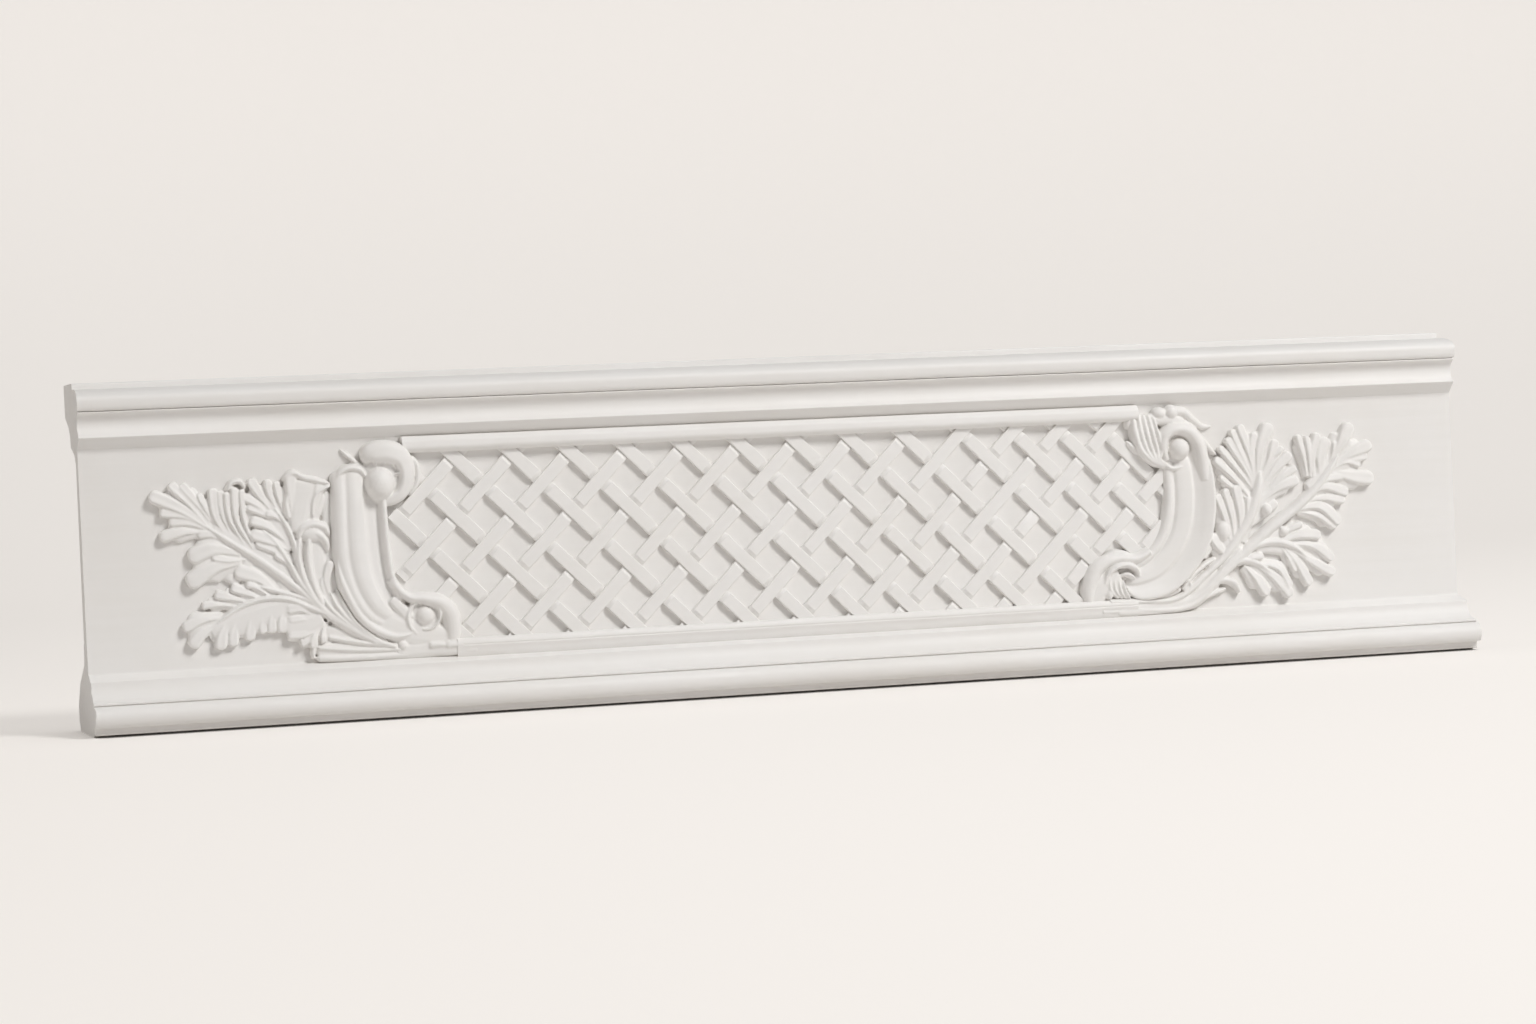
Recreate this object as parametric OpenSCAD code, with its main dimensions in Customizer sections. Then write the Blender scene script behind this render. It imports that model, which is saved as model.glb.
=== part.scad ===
// Cornice moulding section: one cast length of an enriched frieze, cut square at both ends.
// Seen from the front it has an ovolo and a cavetto over a flat field, and a ledge, a scotia
// and a torus on a low plinth under it. The field carries a woven lattice between two rails,
// a C-scroll at each end of the lattice, and a spray of lobed leaves outside each scroll.
// X runs along the section, the front faces -Y, and the foot stands on Z = 0.

/* [Run] */
// Length of the section
run_l = 1200; // [1000:10:1600]
// Height from the foot to the top face
run_h = 280; // [230:1:340]
// Projection of the torus in front of the field
front_p = 42.5; // [40:0.5:60]
// Distance of the fixing faces behind the field
back_d = 78; // [62:1:100]

/* [Top moulding] */
// Height of the upright fillet at the top
top_fillet_h = 5.2; // [3:0.1:8]
// How far the top fillet stands behind the field
top_fillet_set = 19.8; // [12:0.1:26]
// Height of the ovolo
ovolo_h = 13.4; // [10:0.1:17]
// Projection of the ovolo in front of the field
ovolo_p = 14.6; // [12:0.1:20]
// Radius under the nose of the ovolo
ovolo_tuck_r = 4.7; // [3:0.1:6]
// Radius of the hollow of the cavetto
cavetto_r = 10.9; // [9:0.1:13]
// Depth left at the deepest place of the cavetto, in front of the field
cavetto_floor_p = 4.7; // [2:0.1:6]
// Projection of the lip under the cavetto
lip_p = 9.9; // [8:0.1:13]
// Projection of the arris over the cavetto
arris_p = 11.5; // [9:0.1:13]
// Height of the sloping soffit under the lip
soffit_h = 9; // [6:0.1:13]

/* [Bottom moulding] */
// Height of the plinth strip
plinth_h = 6.5; // [4:0.1:12]
// Projection of the plinth strip
plinth_p = 29.4; // [24:0.1:38]
// Radius of the torus
torus_r = 8.9; // [6:0.1:11]
// Height of the fillet on the torus
base_fillet_h = 2.5; // [1.5:0.1:5]
// Radius of the scotia
scotia_r = 15.3; // [10:0.1:18]
// Height of the nosing on the edge of the ledge
ledge_nosing_h = 0.6; // [0.4:0.1:2]
// Fall of the ledge towards the front
ledge_fall = 5.1; // [3:0.1:8]

/* [Back] */
// Thickness of the plate behind the field
plate_t = 18; // [14:0.5:26]
// Height of the fixing face at the top
top_back_h = 26; // [18:0.5:32]
// Height of the fixing face at the foot
foot_back_h = 12; // [8:0.5:18]
// Chamfer at the back edge of the foot
foot_chamfer = 8; // [4:0.5:12]

/* [Lattice] */
// Distance between the strips, along the run
lattice_pitch = 48.5; // [38:0.5:60]
// Width of a strip
strip_w = 11; // [8:0.5:14]
// Height of a strip where it passes over
strip_over = 5.6; // [4.6:0.1:8]
// Height of a strip where it passes under
strip_under = 3.2; // [2.4:0.1:4.4]

/* [Rails] */
// Height of the upper rail
upper_rail_h = 13.5; // [10:0.5:18]
// Height of the lower rail
lower_rail_h = 12.5; // [10:0.5:16]
// Projection of both rails from the field
rail_p = 10.5; // [9.5:0.1:14]

/* [Ornament] */
// Bare field between the left end of the run and its leaves
left_margin = 55; // [20:1:120]
// Bare field between the right end of the run and its leaves
right_margin = 77; // [20:1:120]
// Width of the left leaves and scroll together
left_w = 247; // [210:1:280]
// Width of the right leaves and scroll together
right_w = 271; // [230:1:300]
// Greatest projection of the scrolls and leaves from the field
relief_p = 19; // [15:0.5:24]
// Clear height left over and under the ornament, together
ornament_gap = 5.3; // [2:0.1:12]
// Greatest projection of the leaf stems
stem_p = 6.5; // [4:0.5:9]
// Projection of the crest of a leaf lobe
lobe_p = 7.5; // [5:0.5:11]

/* [Hidden] */
plaster = "#efeae3";
sink = 2;                  // how far a raised part is rooted in the plate
wash_slack = 0.5;          // nosing over and under the hollow of the cavetto
lobe_steps = 3;            // stations along a leaf lobe
tip_over = 0.06;           // how far an end lobe runs on past its blade
stem_steps = 8;            // stations along a stem
band_steps = 12;           // stations along the band of a scroll
knob_fn = 12;              // facets round a knob
knob_root = 5;             // how far the largest knob is rooted behind the other relief
root_half = sqrt(0.5);     // share of a diagonal length that lies along each axis
rail_bevel = 3.4;          // bevel under the upper rail
rail_root = 4;             // how far the lattice runs in behind each rail
quirk_h = 1.2;             // height of the quirk between the cavetto and the ovolo
land = 0.4;                // small upright face on the arris and inside the quirk

depth = front_p + back_d;
field_y = front_p - depth / 2;
torus_z = plinth_h + torus_r;
scotia_p = front_p - torus_r - 1;
scotia_z = torus_z + torus_r + base_fillet_h + scotia_r;
ledge_p = scotia_p - scotia_r;
field_foot = scotia_z + ledge_nosing_h + ledge_fall;
ovolo_z = run_h - top_fillet_h - ovolo_h;
ovolo_back_p = 0.3 - top_fillet_set; // the ovolo's centre line is just before the fillet
quirk_z = ovolo_z - ovolo_tuck_r;
arris_z = quirk_z - quirk_h;
cavetto_p = cavetto_floor_p + cavetto_r;
cavetto_z = arris_z - sqrt(pow(cavetto_r, 2) - pow(cavetto_p - arris_p, 2));
lip_z = cavetto_z - sqrt(pow(cavetto_r, 2) - pow(cavetto_p - lip_p, 2)) - wash_slack;
field_top = lip_z - soffit_h;
field_h = field_top - field_foot;

ornament_z = field_foot + ornament_gap / 2;
ornament_h = field_h - ornament_gap;
left_x = left_margin - run_l / 2;
right_x = run_l / 2 - right_margin - right_w;
scroll_inset = 78;         // from a scroll's inner tip to the middle of its band
lattice_x0 = left_x + left_w - scroll_inset;
lattice_x1 = right_x + scroll_inset + 20;
rail_x0 = left_x + left_w - 40;
rail_x1 = right_x + 48;

/* A point of the cross-section, given as projection from the field and height. */
function at(p, z) = [field_y - p, z];

function arc(p, z, rp, rz, from, to, n) =
    [for (i = [0:n]) let (a = from + (to - from) * i / n) at(p + rp * cos(a), z + rz * sin(a))];

module run(length) {
    rotate([90, 0, 90])
        linear_extrude(height = length)
            children();
}

/* The moulded body: one profile, drawn from the foot up the front and down the back. */
module profile_outline() {
    ledge_slope = ledge_fall / ledge_p;
    polygon(concat(
        [at(plinth_p, 0), at(plinth_p, torus_z), at(scotia_p, torus_z),
         at(scotia_p, field_foot - ledge_slope * scotia_p),
         at(0, field_foot), at(0, field_top),
         at(lip_p, lip_z), at(lip_p, cavetto_z), at(arris_p, cavetto_z), at(arris_p, arris_z + land),
         at(ovolo_p - ovolo_tuck_r - land, quirk_z)],
        arc(ovolo_p - ovolo_tuck_r, ovolo_z, ovolo_tuck_r, ovolo_tuck_r, -90, 0, 6),
        arc(ovolo_back_p, ovolo_z, ovolo_p - ovolo_back_p, ovolo_h, 8, 90, 11),
        [at(-top_fillet_set, run_h - top_fillet_h), at(-top_fillet_set, run_h)],
        back_outline()
    ));
}

/* Behind the field the casting is a plate between two solid bands that meet the wall.
   The undersides of the bands are [share of the back's depth, height from the field's edge]. */
TOP_BAND = [[0.72, 19.5], [0.59, 11.5], [0.59, 3]];
FOOT_BAND = [[0.56, -2], [0.77, -9.5]];

function back_outline() = concat(
    [at(-back_d, run_h), at(-back_d, run_h - top_back_h)],
    [for (q = TOP_BAND) at(-q[0] * back_d, field_top + q[1])],
    [at(-plate_t - 2, field_top - 4), at(-plate_t, field_top - 10),
     at(-plate_t, field_foot + 26), at(-plate_t - 4.5, field_foot + 7.5)],
    [for (q = FOOT_BAND) at(-q[0] * back_d, field_foot + q[1])],
    [at(-back_d, foot_chamfer + foot_back_h), at(-back_d, foot_chamfer),
     at(foot_chamfer - back_d, 0)]
);

module body() {
    color(plaster)
        translate([-run_l / 2, 0, 0])
            run(run_l)
                difference() {
                    union() {
                        profile_outline();
                        translate(at(front_p - torus_r, torus_z)) circle(torus_r, $fn = 72);
                    }
                    translate(at(scotia_p, scotia_z)) circle(scotia_r, $fn = 72);
                    translate(at(cavetto_p, cavetto_z)) circle(cavetto_r, $fn = 72);
                }
}

/* Upper rail: a flat face with a wash on top and a small bevel under it. */
module upper_rail() {
    foot = field_top - upper_rail_h;
    color(plaster)
        translate([rail_x0, 0, 0])
            run(rail_x1 - rail_x0)
                polygon([at(-sink, foot), at(rail_p - rail_bevel, foot), at(rail_p, foot + 2),
                         at(rail_p - 0.5, field_top - 4), at(rail_p - 4, field_top - 0.6),
                         at(-sink, field_top - 0.6)]);
}

/* Lower rail: a low half-round on the ledge that ends in a turned tip on the left. */
module lower_rail() {
    tip_l = 24;
    tip_r = 3.4;
    head = field_foot + lower_rail_h;
    foot = field_foot - 2.6;
    color(plaster) {
        translate([rail_x0 + tip_l + 14, 0, 0])
            run(rail_x1 - rail_x0 - tip_l - 14)
                polygon([at(-sink, foot), at(rail_p - 2.2, foot), at(rail_p - 0.6, foot + 4),
                         at(rail_p, foot + 8), at(rail_p - 0.8, head - 2.6), at(rail_p - 3, head),
                         at(-sink, head)]);
        translate([rail_x0 + 14, field_y - tip_r / 2, field_foot + lower_rail_h / 2 + 2])
            rotate([0, 90, 0])
                cylinder(h = tip_l + 1, r = tip_r, $fn = 48);
    }
}

/* The opening that the lattice fills, with its ends under the scrolls.
   Points are [across, up] from the field's lower edge. */
module lattice_opening() {
    foot = rail_root;
    top = field_h - rail_root;
    under_volute = 40;
    translate([0, field_y + sink + 1, field_foot])
        rotate([90, 0, 0])
            linear_extrude(height = strip_over + sink + 2)
                polygon([[lattice_x0 + 12, 0.35 * field_h], [lattice_x0 + 12, 0.8 * field_h],
                         [lattice_x0 + 34, 0.9 * field_h], [lattice_x0 + 34, top],
                         [lattice_x1 - 44, top], [lattice_x1 - 44, 0.86 * field_h],
                         [lattice_x1 - 16, 0.64 * field_h], [lattice_x1 - 24, 0.42 * field_h],
                         [lattice_x1 - 60, 0.28 * field_h], [lattice_x1 - 86, foot],
                         [lattice_x0 + scroll_inset - 20, foot],
                         [lattice_x0 + under_volute, 0.16 * field_h]]);
}

/* Woven lattice. The strips lean 45 degrees and cross in level rows, half a pitch apart.
   A strip that leans one way is over in the odd rows, the other in the even rows. */
module strip(x_mid, lean, over_row) {
    cross_gap = lattice_pitch * root_half;
    ramp = 5;
    clear = 0.5;           // between the foot of a ramp and the strip that crosses over
    flat = cross_gap - strip_w / 2 - ramp - clear;
    reach = field_h / 2 / root_half + strip_w;
    s_left = (lattice_x0 - x_mid) / root_half;
    s_right = (lattice_x1 - x_mid) / root_half;
    s0 = max(-reach, s_left);
    s1 = min(reach, s_right);
    rows = ceil(reach / cross_gap) + 1;
    wave = [for (n = [-rows:rows]) if (abs((n + over_row) % 2) == 0)
        for (e = [[-flat - ramp, strip_under], [-flat, strip_over],
                  [flat, strip_over], [flat + ramp, strip_under]])
            [n * cross_gap + e[0], e[1]]];
    if (s1 - s0 > strip_w)
        translate([x_mid, field_y, (field_foot + field_top) / 2])
            rotate([0, -lean, 0])
                translate([0, 0, -strip_w / 2])
                    linear_extrude(height = strip_w)
                        intersection() {
                            polygon(concat([[wave[0][0], sink]],
                                           [for (q = wave) [q[0], -q[1]]],
                                           [[wave[len(wave) - 1][0], sink]]));
                            translate([s0, -strip_over - 1])
                                square([s1 - s0, strip_over + 1 + sink]);
                        }
}

module lattice() {
    count = ceil((lattice_x1 - lattice_x0 + field_h) / lattice_pitch);
    first = lattice_x0 - field_h / 2 + 0.42 * lattice_pitch;
    color(plaster)
        intersection() {
            union()
                for (i = [0:count]) {
                    strip(first + i * lattice_pitch, 45, 0);
                    strip(first + i * lattice_pitch, -45, 1);
                }
            lattice_opening();
        }
}

/* Paths on the field: points are [across, up] from the ornament's lower left corner. */
function side_of(v) = [-v[1], v[0]] / norm(v);

function bent(a, b, bend, n) =
    let (c = (a + b) / 2 + 2 * bend * norm(b - a) * side_of(b - a))
    [for (i = [0:n]) let (t = i / n) pow(1 - t, 2) * a + 2 * t * (1 - t) * c + t * t * b];

function through(pts, n) =
    let (last = len(pts) - 1)
    [for (i = [0:n])
        let (s = i / n * last, k = min(floor(s), last - 1), t = s - k,
             a = pts[max(k - 1, 0)], b = pts[k], c = pts[k + 1], d = pts[min(k + 2, last)])
        0.5 * (2 * b + (c - a) * t + (2 * a - 5 * b + 4 * c - d) * t * t
               + (3 * b - a - 3 * c + d) * pow(t, 3))];

function heading(path, i) = path[min(i + 1, len(path) - 1)] - path[max(i - 1, 0)];

/* Sections are [across, up] as shares of the half width and of the crest's height.
   A point at ROOT lies under the field, inside the plate. */
ROOT = -1;
KEEL = [[1, ROOT], [0, 1], [-1, ROOT]];
RIDGE = [[1, ROOT], [1, 0.45], [0, 1], [-1, 0.45], [-1, ROOT]];
ROLL = [[1, ROOT], [0.9, 0.5], [0.4, 1], [-0.4, 1], [-0.9, 0.5], [-1, ROOT]];
FLUTED = [[1, ROOT], [1, 0.6], [0.8, 1], [0.6, 0.5], [0.42, 0.5], [0.28, 0.8], [-0.05, 0.4],
          [-0.4, 0.5], [-0.62, 0.95], [-0.85, 0.95], [-1, 0.5], [-1, ROOT]];

/* A raised ribbon along a path, closed under the field. */
module ribbon(path, half, crest, section = RIDGE) {
    n = len(path);
    m = len(section);
    points = [for (i = [0:n - 1])
        let (t = i / (n - 1), side = side_of(heading(path, i)) * half(t))
        for (q = section)
            let (c = path[i] + q[0] * side)
            [c[0], q[1] == ROOT ? sink : -q[1] * crest(t), c[1]]];
    sides = [for (i = [0:n - 2]) for (k = [0:m - 1])
        let (next = (k + 1) % m)
        [i * m + next, i * m + k, (i + 1) * m + k, (i + 1) * m + next]];
    polyhedron(points, concat([[for (k = [0:m - 1]) k]], sides,
                              [[for (k = [m - 1:-1:0]) (n - 1) * m + k]]), convexity = 4);
}

/* One lobe: narrow at its root, full near its round end. */
module lobe(a, b, bend, width, up = lobe_p) {
    ribbon(bent(a, b, bend, lobe_steps),
           function(t) width * (0.5 + 0.9 * sin(t * 155)) / 2,
           function(t) up * (0.7 + 0.3 * sin(t * 180)), KEEL);
}

/* A leaf: a low blade with a rib, an end lobe, and pairs of lobes that shorten to the tip. */
module leaf(a, b, bend = 0, pairs = 2, reach = 18, width = 11) {
    rib = bent(a, b, bend, 8);
    ribbon(bent(a, b, bend, lobe_steps),
           function(t) max(1.2, 0.42 * reach * sin(20 + 150 * t)), function(t) stem_p, KEEL);
    lobe(rib[5], b + (b - rib[5]) * tip_over, 0, width);
    if (pairs > 0)
        for (i = [0:pairs - 1]) {
            k = 2 + floor(4 * i / pairs);
            way = heading(rib, k) / norm(heading(rib, k));
            for (s = [-1, 1]) {
                spread = 48 - 3 * k;
                aim = way * cos(spread) + s * side_of(way) * sin(spread);
                lobe(rib[k], rib[k] + aim * reach * (1 - 0.07 * k), -s * 0.12, width * 0.85,
                     lobe_p * 0.9);
            }
        }
}

module stem(pts, width, up = stem_p) {
    ribbon(through(pts, stem_steps), function(t) width * (1 - 0.45 * t) / 2, function(t) up);
}

module knob(c, r, up) {
    translate([c[0], r - up, c[1]]) sphere(r, $fn = knob_fn);
}

function turn(c, r0, r1, from, to, n) =
    [for (i = [0:n]) let (a = from + (to - from) * i / n, r = r0 + (r1 - r0) * i / n)
        c + r * [cos(a), sin(a)]];

module left_spray() {
    stem([[193, 8], [146, 30], [115, 58], [75, 91]], 9);
    stem([[190, 8], [150, 20], [134, 42], [118, 70], [112, 100]], 8);
    leaf([76, 90], [4, 140], 0, 3, 25, 12);
    leaf([100, 74], [26, 64], -0.1, 1, 30, 15);
    leaf([92, 84], [51, 143], -0.05, 1, 22, 10);
    leaf([98, 86], [73, 146], 0.08, 0, 16, 12);
    leaf([111, 95], [84, 148], 0.05, 2, 22, 11);
    leaf([114, 80], [78, 111], 0, 1, 20, 11);
    leaf([120, 92], [118, 150], -0.1, 1, 30, 16);
    leaf([131, 45], [124, 106], -0.06, 0, 26, 14);
    leaf([138, 42], [141, 100], 0.05, 0, 20, 12);
    leaf([136, 42], [27, 18], -0.16, 4, 24, 13);
    leaf([140, 38], [122, 18], 0.1, 1, 16, 11);
    lobe([200, 7], [126, 7], 0, 8, stem_p);
    lobe([196, 8], [127, 14], 0.03, 7, stem_p);
}

module left_scroll() {
    ribbon(through([[169, 144], [167, 100], [169, 72], [177, 50], [191, 34], [214, 25]], band_steps),
           function(t) 24 - 14 * pow(t, 2), function(t) 15 - 5 * t, FLUTED);
    ribbon(turn([219, 31], 24, 17, 165, -75, 10), function(t) 5.5 + 2 * t, function(t) 12, ROLL);
    ribbon(turn([219, 31], 13, 11, 0, 330, 11), function(t) 2.4, function(t) 9.5);
    knob([219, 31], 7, 12);
    knob([200, 8], 4.4, 8);
    ribbon(through([[172, 158], [176, 170], [192, 174], [208, 166], [214, 148], [207, 130], [190, 123],
                    [178, 125]], band_steps),
           function(t) 6 + 3 * sin(t * 180), function(t) 14, ROLL);
    ribbon(through([[180, 160], [192, 158], [200, 146]], 5), function(t) 7, function(t) 15, ROLL);
    knob([186, 140], 13, relief_p);
    stem([[150, 138], [158, 151], [171, 150], [177, 140]], 6, 11);
}

module right_spray() {
    stem([[60, 6], [100, 8], [126, 26], [150, 50], [176, 71], [202, 90], [228, 116]], 10);
    stem([[148, 46], [160, 76], [163, 112]], 9);
    leaf([226, 112], [253, 152], 0.03, 1, 22, 12);
    leaf([226, 112], [269, 131], -0.05, 0, 16, 12);
    leaf([230, 114], [269, 103], 0.16, 0, 20, 14);
    leaf([212, 98], [226, 143], -0.08, 1, 18, 11);
    leaf([208, 98], [202, 144], 0.08, 0, 16, 11);
    leaf([196, 84], [247, 92], 0.1, 1, 16, 12);
    leaf([198, 82], [240, 64], 0.18, 0, 22, 12);
    leaf([161, 92], [177, 154], -0.04, 1, 24, 13);
    leaf([163, 100], [145, 156], 0.06, 1, 24, 12);
    leaf([163, 82], [198, 128], -0.06, 0, 22, 12);
    leaf([168, 84], [200, 110], 0.1, 0, 18, 11);
    leaf([142, 50], [122, 96], -0.14, 2, 16, 12);
    leaf([156, 52], [231, 25], 0.2, 1, 18, 13);
    leaf([170, 60], [219, 56], 0.08, 0, 14, 11);
    leaf([172, 56], [208, 13], 0.18, 0, 20, 12);
    leaf([126, 26], [189, 4], 0.2, 1, 20, 13);
    leaf([108, 10], [142, 11], 0.22, 0, 14, 9);
    leaf([96, 14], [115, 62], 0.05, 1, 14, 11);
    knob([168, 82], 4.5, 8);
}

module right_scroll() {
    ribbon(through([[100, 134], [100, 110], [98, 85], [91, 62], [78, 44], [59, 31], [36, 22]], band_steps),
           function(t) 20 + 3 * t - 14 * pow(t, 3), function(t) 15 - 3 * t, FLUTED);
    ribbon(through([[78, 122], [71, 136], [76, 152], [90, 158], [105, 150], [112, 134]], 10),
           function(t) 5, function(t) 15, ROLL);
    knob([89, 137], 9, 17);
    ribbon(through([[50, 172], [52, 148], [58, 132], [70, 124], [80, 122]], 8),
           function(t) 10 - 6 * t, function(t) 13, ROLL);
    knob([73, 168], 6.5, 11);
    knob([86, 170], 6.5, 12);
    stem([[90, 168], [104, 161], [122, 154]], 9, 8);
    ribbon(through([[8, 24], [12, 40], [25, 46], [40, 41], [48, 31]], 8),
           function(t) 7 - 3 * t, function(t) 12, ROLL);
    ribbon(through([[26, 33], [30, 20], [44, 12]], 6), function(t) 9 - 4 * t, function(t) 10, ROLL);
    knob([20, 16], 5, 10);
    stem([[12, 6], [50, 6], [90, 8], [112, 24]], 9, 9);
}

/* Each ornament is drawn at its design size and then brought to the space that the run leaves. */
module left_ornament() {
    color(plaster)
        translate([left_x, field_y, ornament_z])
            resize([left_w, relief_p + sink + knob_root, ornament_h]) {
                left_spray();
                left_scroll();
            }
}

module right_ornament() {
    color(plaster)
        translate([right_x, field_y, ornament_z])
            resize([right_w, relief_p + sink, ornament_h]) {
                right_spray();
                right_scroll();
            }
}

module cornice_section() {
    union() {
        body();
        lattice();
        upper_rail();
        lower_rail();
    }
    left_ornament();
    right_ornament();
}

cornice_section();
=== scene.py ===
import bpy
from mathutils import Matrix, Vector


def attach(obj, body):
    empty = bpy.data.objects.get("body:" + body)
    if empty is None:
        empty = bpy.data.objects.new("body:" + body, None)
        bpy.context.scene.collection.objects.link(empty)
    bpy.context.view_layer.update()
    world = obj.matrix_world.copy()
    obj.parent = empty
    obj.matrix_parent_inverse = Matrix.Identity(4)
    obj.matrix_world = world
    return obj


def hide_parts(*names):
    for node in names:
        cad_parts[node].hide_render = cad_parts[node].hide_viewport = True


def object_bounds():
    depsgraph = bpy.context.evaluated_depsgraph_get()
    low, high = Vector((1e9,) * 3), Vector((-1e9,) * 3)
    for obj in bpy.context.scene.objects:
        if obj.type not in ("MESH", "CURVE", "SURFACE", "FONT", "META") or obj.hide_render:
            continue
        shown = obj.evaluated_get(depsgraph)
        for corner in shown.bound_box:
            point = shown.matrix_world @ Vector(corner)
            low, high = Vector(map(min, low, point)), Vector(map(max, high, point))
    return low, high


bl_info = {
    "name": "Cornice moulding section",
    "version": (1, 0, 0),
    "blender": (4, 5, 0),
    "location": "3D View > Sidebar > Cornice",
    "description": "Builds a length of enriched cornice, cast in plaster and painted white",
    "category": "Object",
}

from math import cos, pi, radians, sin, sqrt

import bmesh
import bpy
from mathutils import Matrix, Vector, noise

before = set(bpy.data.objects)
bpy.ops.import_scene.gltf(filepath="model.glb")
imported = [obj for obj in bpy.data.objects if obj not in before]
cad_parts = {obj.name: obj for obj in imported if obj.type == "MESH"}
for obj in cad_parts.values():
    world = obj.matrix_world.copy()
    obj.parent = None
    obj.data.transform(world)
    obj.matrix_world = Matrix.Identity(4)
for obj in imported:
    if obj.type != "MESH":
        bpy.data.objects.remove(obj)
CAD_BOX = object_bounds()

NODE = "cornice_section"
MM = 0.001
RUN_LENGTH = CAD_BOX[1].x - CAD_BOX[0].x
RUN_HEIGHT = CAD_BOX[1].z
TORUS_REACH = 0.0425
ROOTED = -2.0  # where the back of carved work lies, in millimetres out from the field
SOFTENED = 2  # rounds of smoothing on a carving
KEPT_FACES = 0.75  # share of a carving's faces that thinning keeps


# ---------------------------------------------------------------- sizes and colours


class CorniceSizes(bpy.types.PropertyGroup):
    """Sizes of the casting."""

    run_length: bpy.props.FloatProperty(
        name="Run length", description="Length of the section", default=RUN_LENGTH, unit="LENGTH"
    )
    run_height: bpy.props.FloatProperty(
        name="Height", description="Height from the foot to the top", default=RUN_HEIGHT, unit="LENGTH"
    )
    field: bpy.props.FloatProperty(
        name="Field",
        description="How far the flat field stands behind the nose of the torus",
        default=TORUS_REACH,
        unit="LENGTH",
    )
    waver: bpy.props.FloatProperty(
        name="Waver",
        description="How far the drawn mouldings wander from true",
        default=0.00022,
        unit="LENGTH",
        precision=5,
    )
    strip_width: bpy.props.FloatProperty(
        name="Strip width", description="Width of a lattice strip", default=0.011, unit="LENGTH"
    )
    strip_over: bpy.props.FloatProperty(
        name="Strip over", description="Height of a strip that passes over", default=0.0046, unit="LENGTH"
    )
    strip_under: bpy.props.FloatProperty(
        name="Strip under", description="Height of a strip that passes under", default=0.0026, unit="LENGTH"
    )
    pitch: bpy.props.FloatProperty(
        name="Lattice pitch", description="Distance between the strips along the run", default=0.0485, unit="LENGTH"
    )
    grain: bpy.props.FloatProperty(
        name="Grain",
        description="Finest detail kept in the carving",
        default=0.00075,
        unit="LENGTH",
        precision=5,
    )


class CorniceLook(bpy.types.PropertyGroup):
    """Colours, lamps and camera."""

    paint: bpy.props.FloatVectorProperty(
        name="Paint", description="Colour of the matt white paint", default=(0.86, 0.848, 0.833), subtype="COLOR"
    )
    floor: bpy.props.FloatVectorProperty(
        name="Floor", description="Colour of the floor and backdrop", default=(0.956, 0.913, 0.869), subtype="COLOR"
    )
    key_power: bpy.props.FloatProperty(name="Key", description="Power of the main lamp in watts", default=252.0)
    key_place: bpy.props.FloatVectorProperty(
        name="Key place",
        description="Where the main lamp hangs",
        default=(2.75, -3.9, 4.2),
        subtype="TRANSLATION",
        unit="LENGTH",
    )
    key_size: bpy.props.FloatProperty(
        name="Key size", description="Width of the main lamp", default=1.9, unit="LENGTH"
    )
    fill_power: bpy.props.FloatProperty(name="Fill", description="Strength of the soft surround", default=0.105)
    eye: bpy.props.FloatVectorProperty(
        name="Camera place",
        description="Where the camera stands",
        default=(-0.915, -2.97875, 0.1926),
        subtype="TRANSLATION",
        unit="LENGTH",
    )
    yaw: bpy.props.FloatProperty(
        name="Camera yaw", description="Turn of the camera to the right", default=radians(16.596), unit="ROTATION"
    )
    pitch: bpy.props.FloatProperty(
        name="Camera pitch", description="How far the camera looks down", default=radians(0.778), unit="ROTATION"
    )
    roll: bpy.props.FloatProperty(
        name="Camera roll", description="Turn of the camera about its own line", default=radians(-2.618),
        unit="ROTATION"
    )
    lens: bpy.props.FloatProperty(name="Lens", description="Focal length in millimetres", default=86.72)


# ---------------------------------------------------------------- shader maths


class Wire:
    """One output of a node, which joins in sums."""

    def __init__(self, finish, socket):
        self.finish = finish
        self.socket = socket

    def _sum(self, operation, first, second):
        return self.finish.node("ShaderNodeMath", {"operation": operation}, {0: first, 1: second})

    def __add__(self, other):
        return self._sum("ADD", self, other)

    __radd__ = __add__

    def __sub__(self, other):
        return self._sum("SUBTRACT", self, other)

    def __rsub__(self, other):
        return self._sum("SUBTRACT", other, self)

    def __mul__(self, other):
        return self._sum("MULTIPLY", self, other)

    __rmul__ = __mul__


class Finish:
    """The nodes of one material."""

    def __init__(self, name):
        self.material = bpy.data.materials.new(name)
        self.material.use_nodes = True
        self.tree = self.material.node_tree
        self.tree.nodes.clear()

    def node(self, kind, settings=None, inputs=None, output=0):
        """Adds a node, sets it up, feeds its sockets and returns one output."""
        made = self.tree.nodes.new(kind)
        for name, value in (settings or {}).items():
            if name == "stops":
                self._stops(made.color_ramp, value)
            else:
                setattr(made, name, value)
        for name, value in (inputs or {}).items():
            if isinstance(value, Wire):
                self.tree.links.new(value.socket, made.inputs[name])
            else:
                made.inputs[name].default_value = value
        return Wire(self, made.outputs[output]) if len(made.outputs) else None

    def _stops(self, ramp, stops):
        while len(ramp.elements) < len(stops):
            ramp.elements.new(0.5)
        for element, (position, shade) in zip(ramp.elements, stops):
            element.position = position
            element.color = (shade, shade, shade, 1)

    def ramp(self, value, *stops):
        return self.node("ShaderNodeValToRGB", {"stops": stops}, {"Fac": value})

    def mix(self, factor, first, second):
        return self.node(
            "ShaderNodeMix",
            {"data_type": "RGBA"},
            {0: factor, 6: first, 7: second},
            output=2,
        )

    def grainy(self, where, scale, detail=3.0, rough=0.5):
        return self.node(
            "ShaderNodeTexNoise",
            {"noise_dimensions": "3D"},
            {"Vector": where, "Scale": scale, "Detail": detail, "Roughness": rough},
        )


def toned(colour, red, green, blue):
    """The colour with its three parts scaled."""
    return (colour[0] * red, colour[1] * green, colour[2] * blue, 1)


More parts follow.
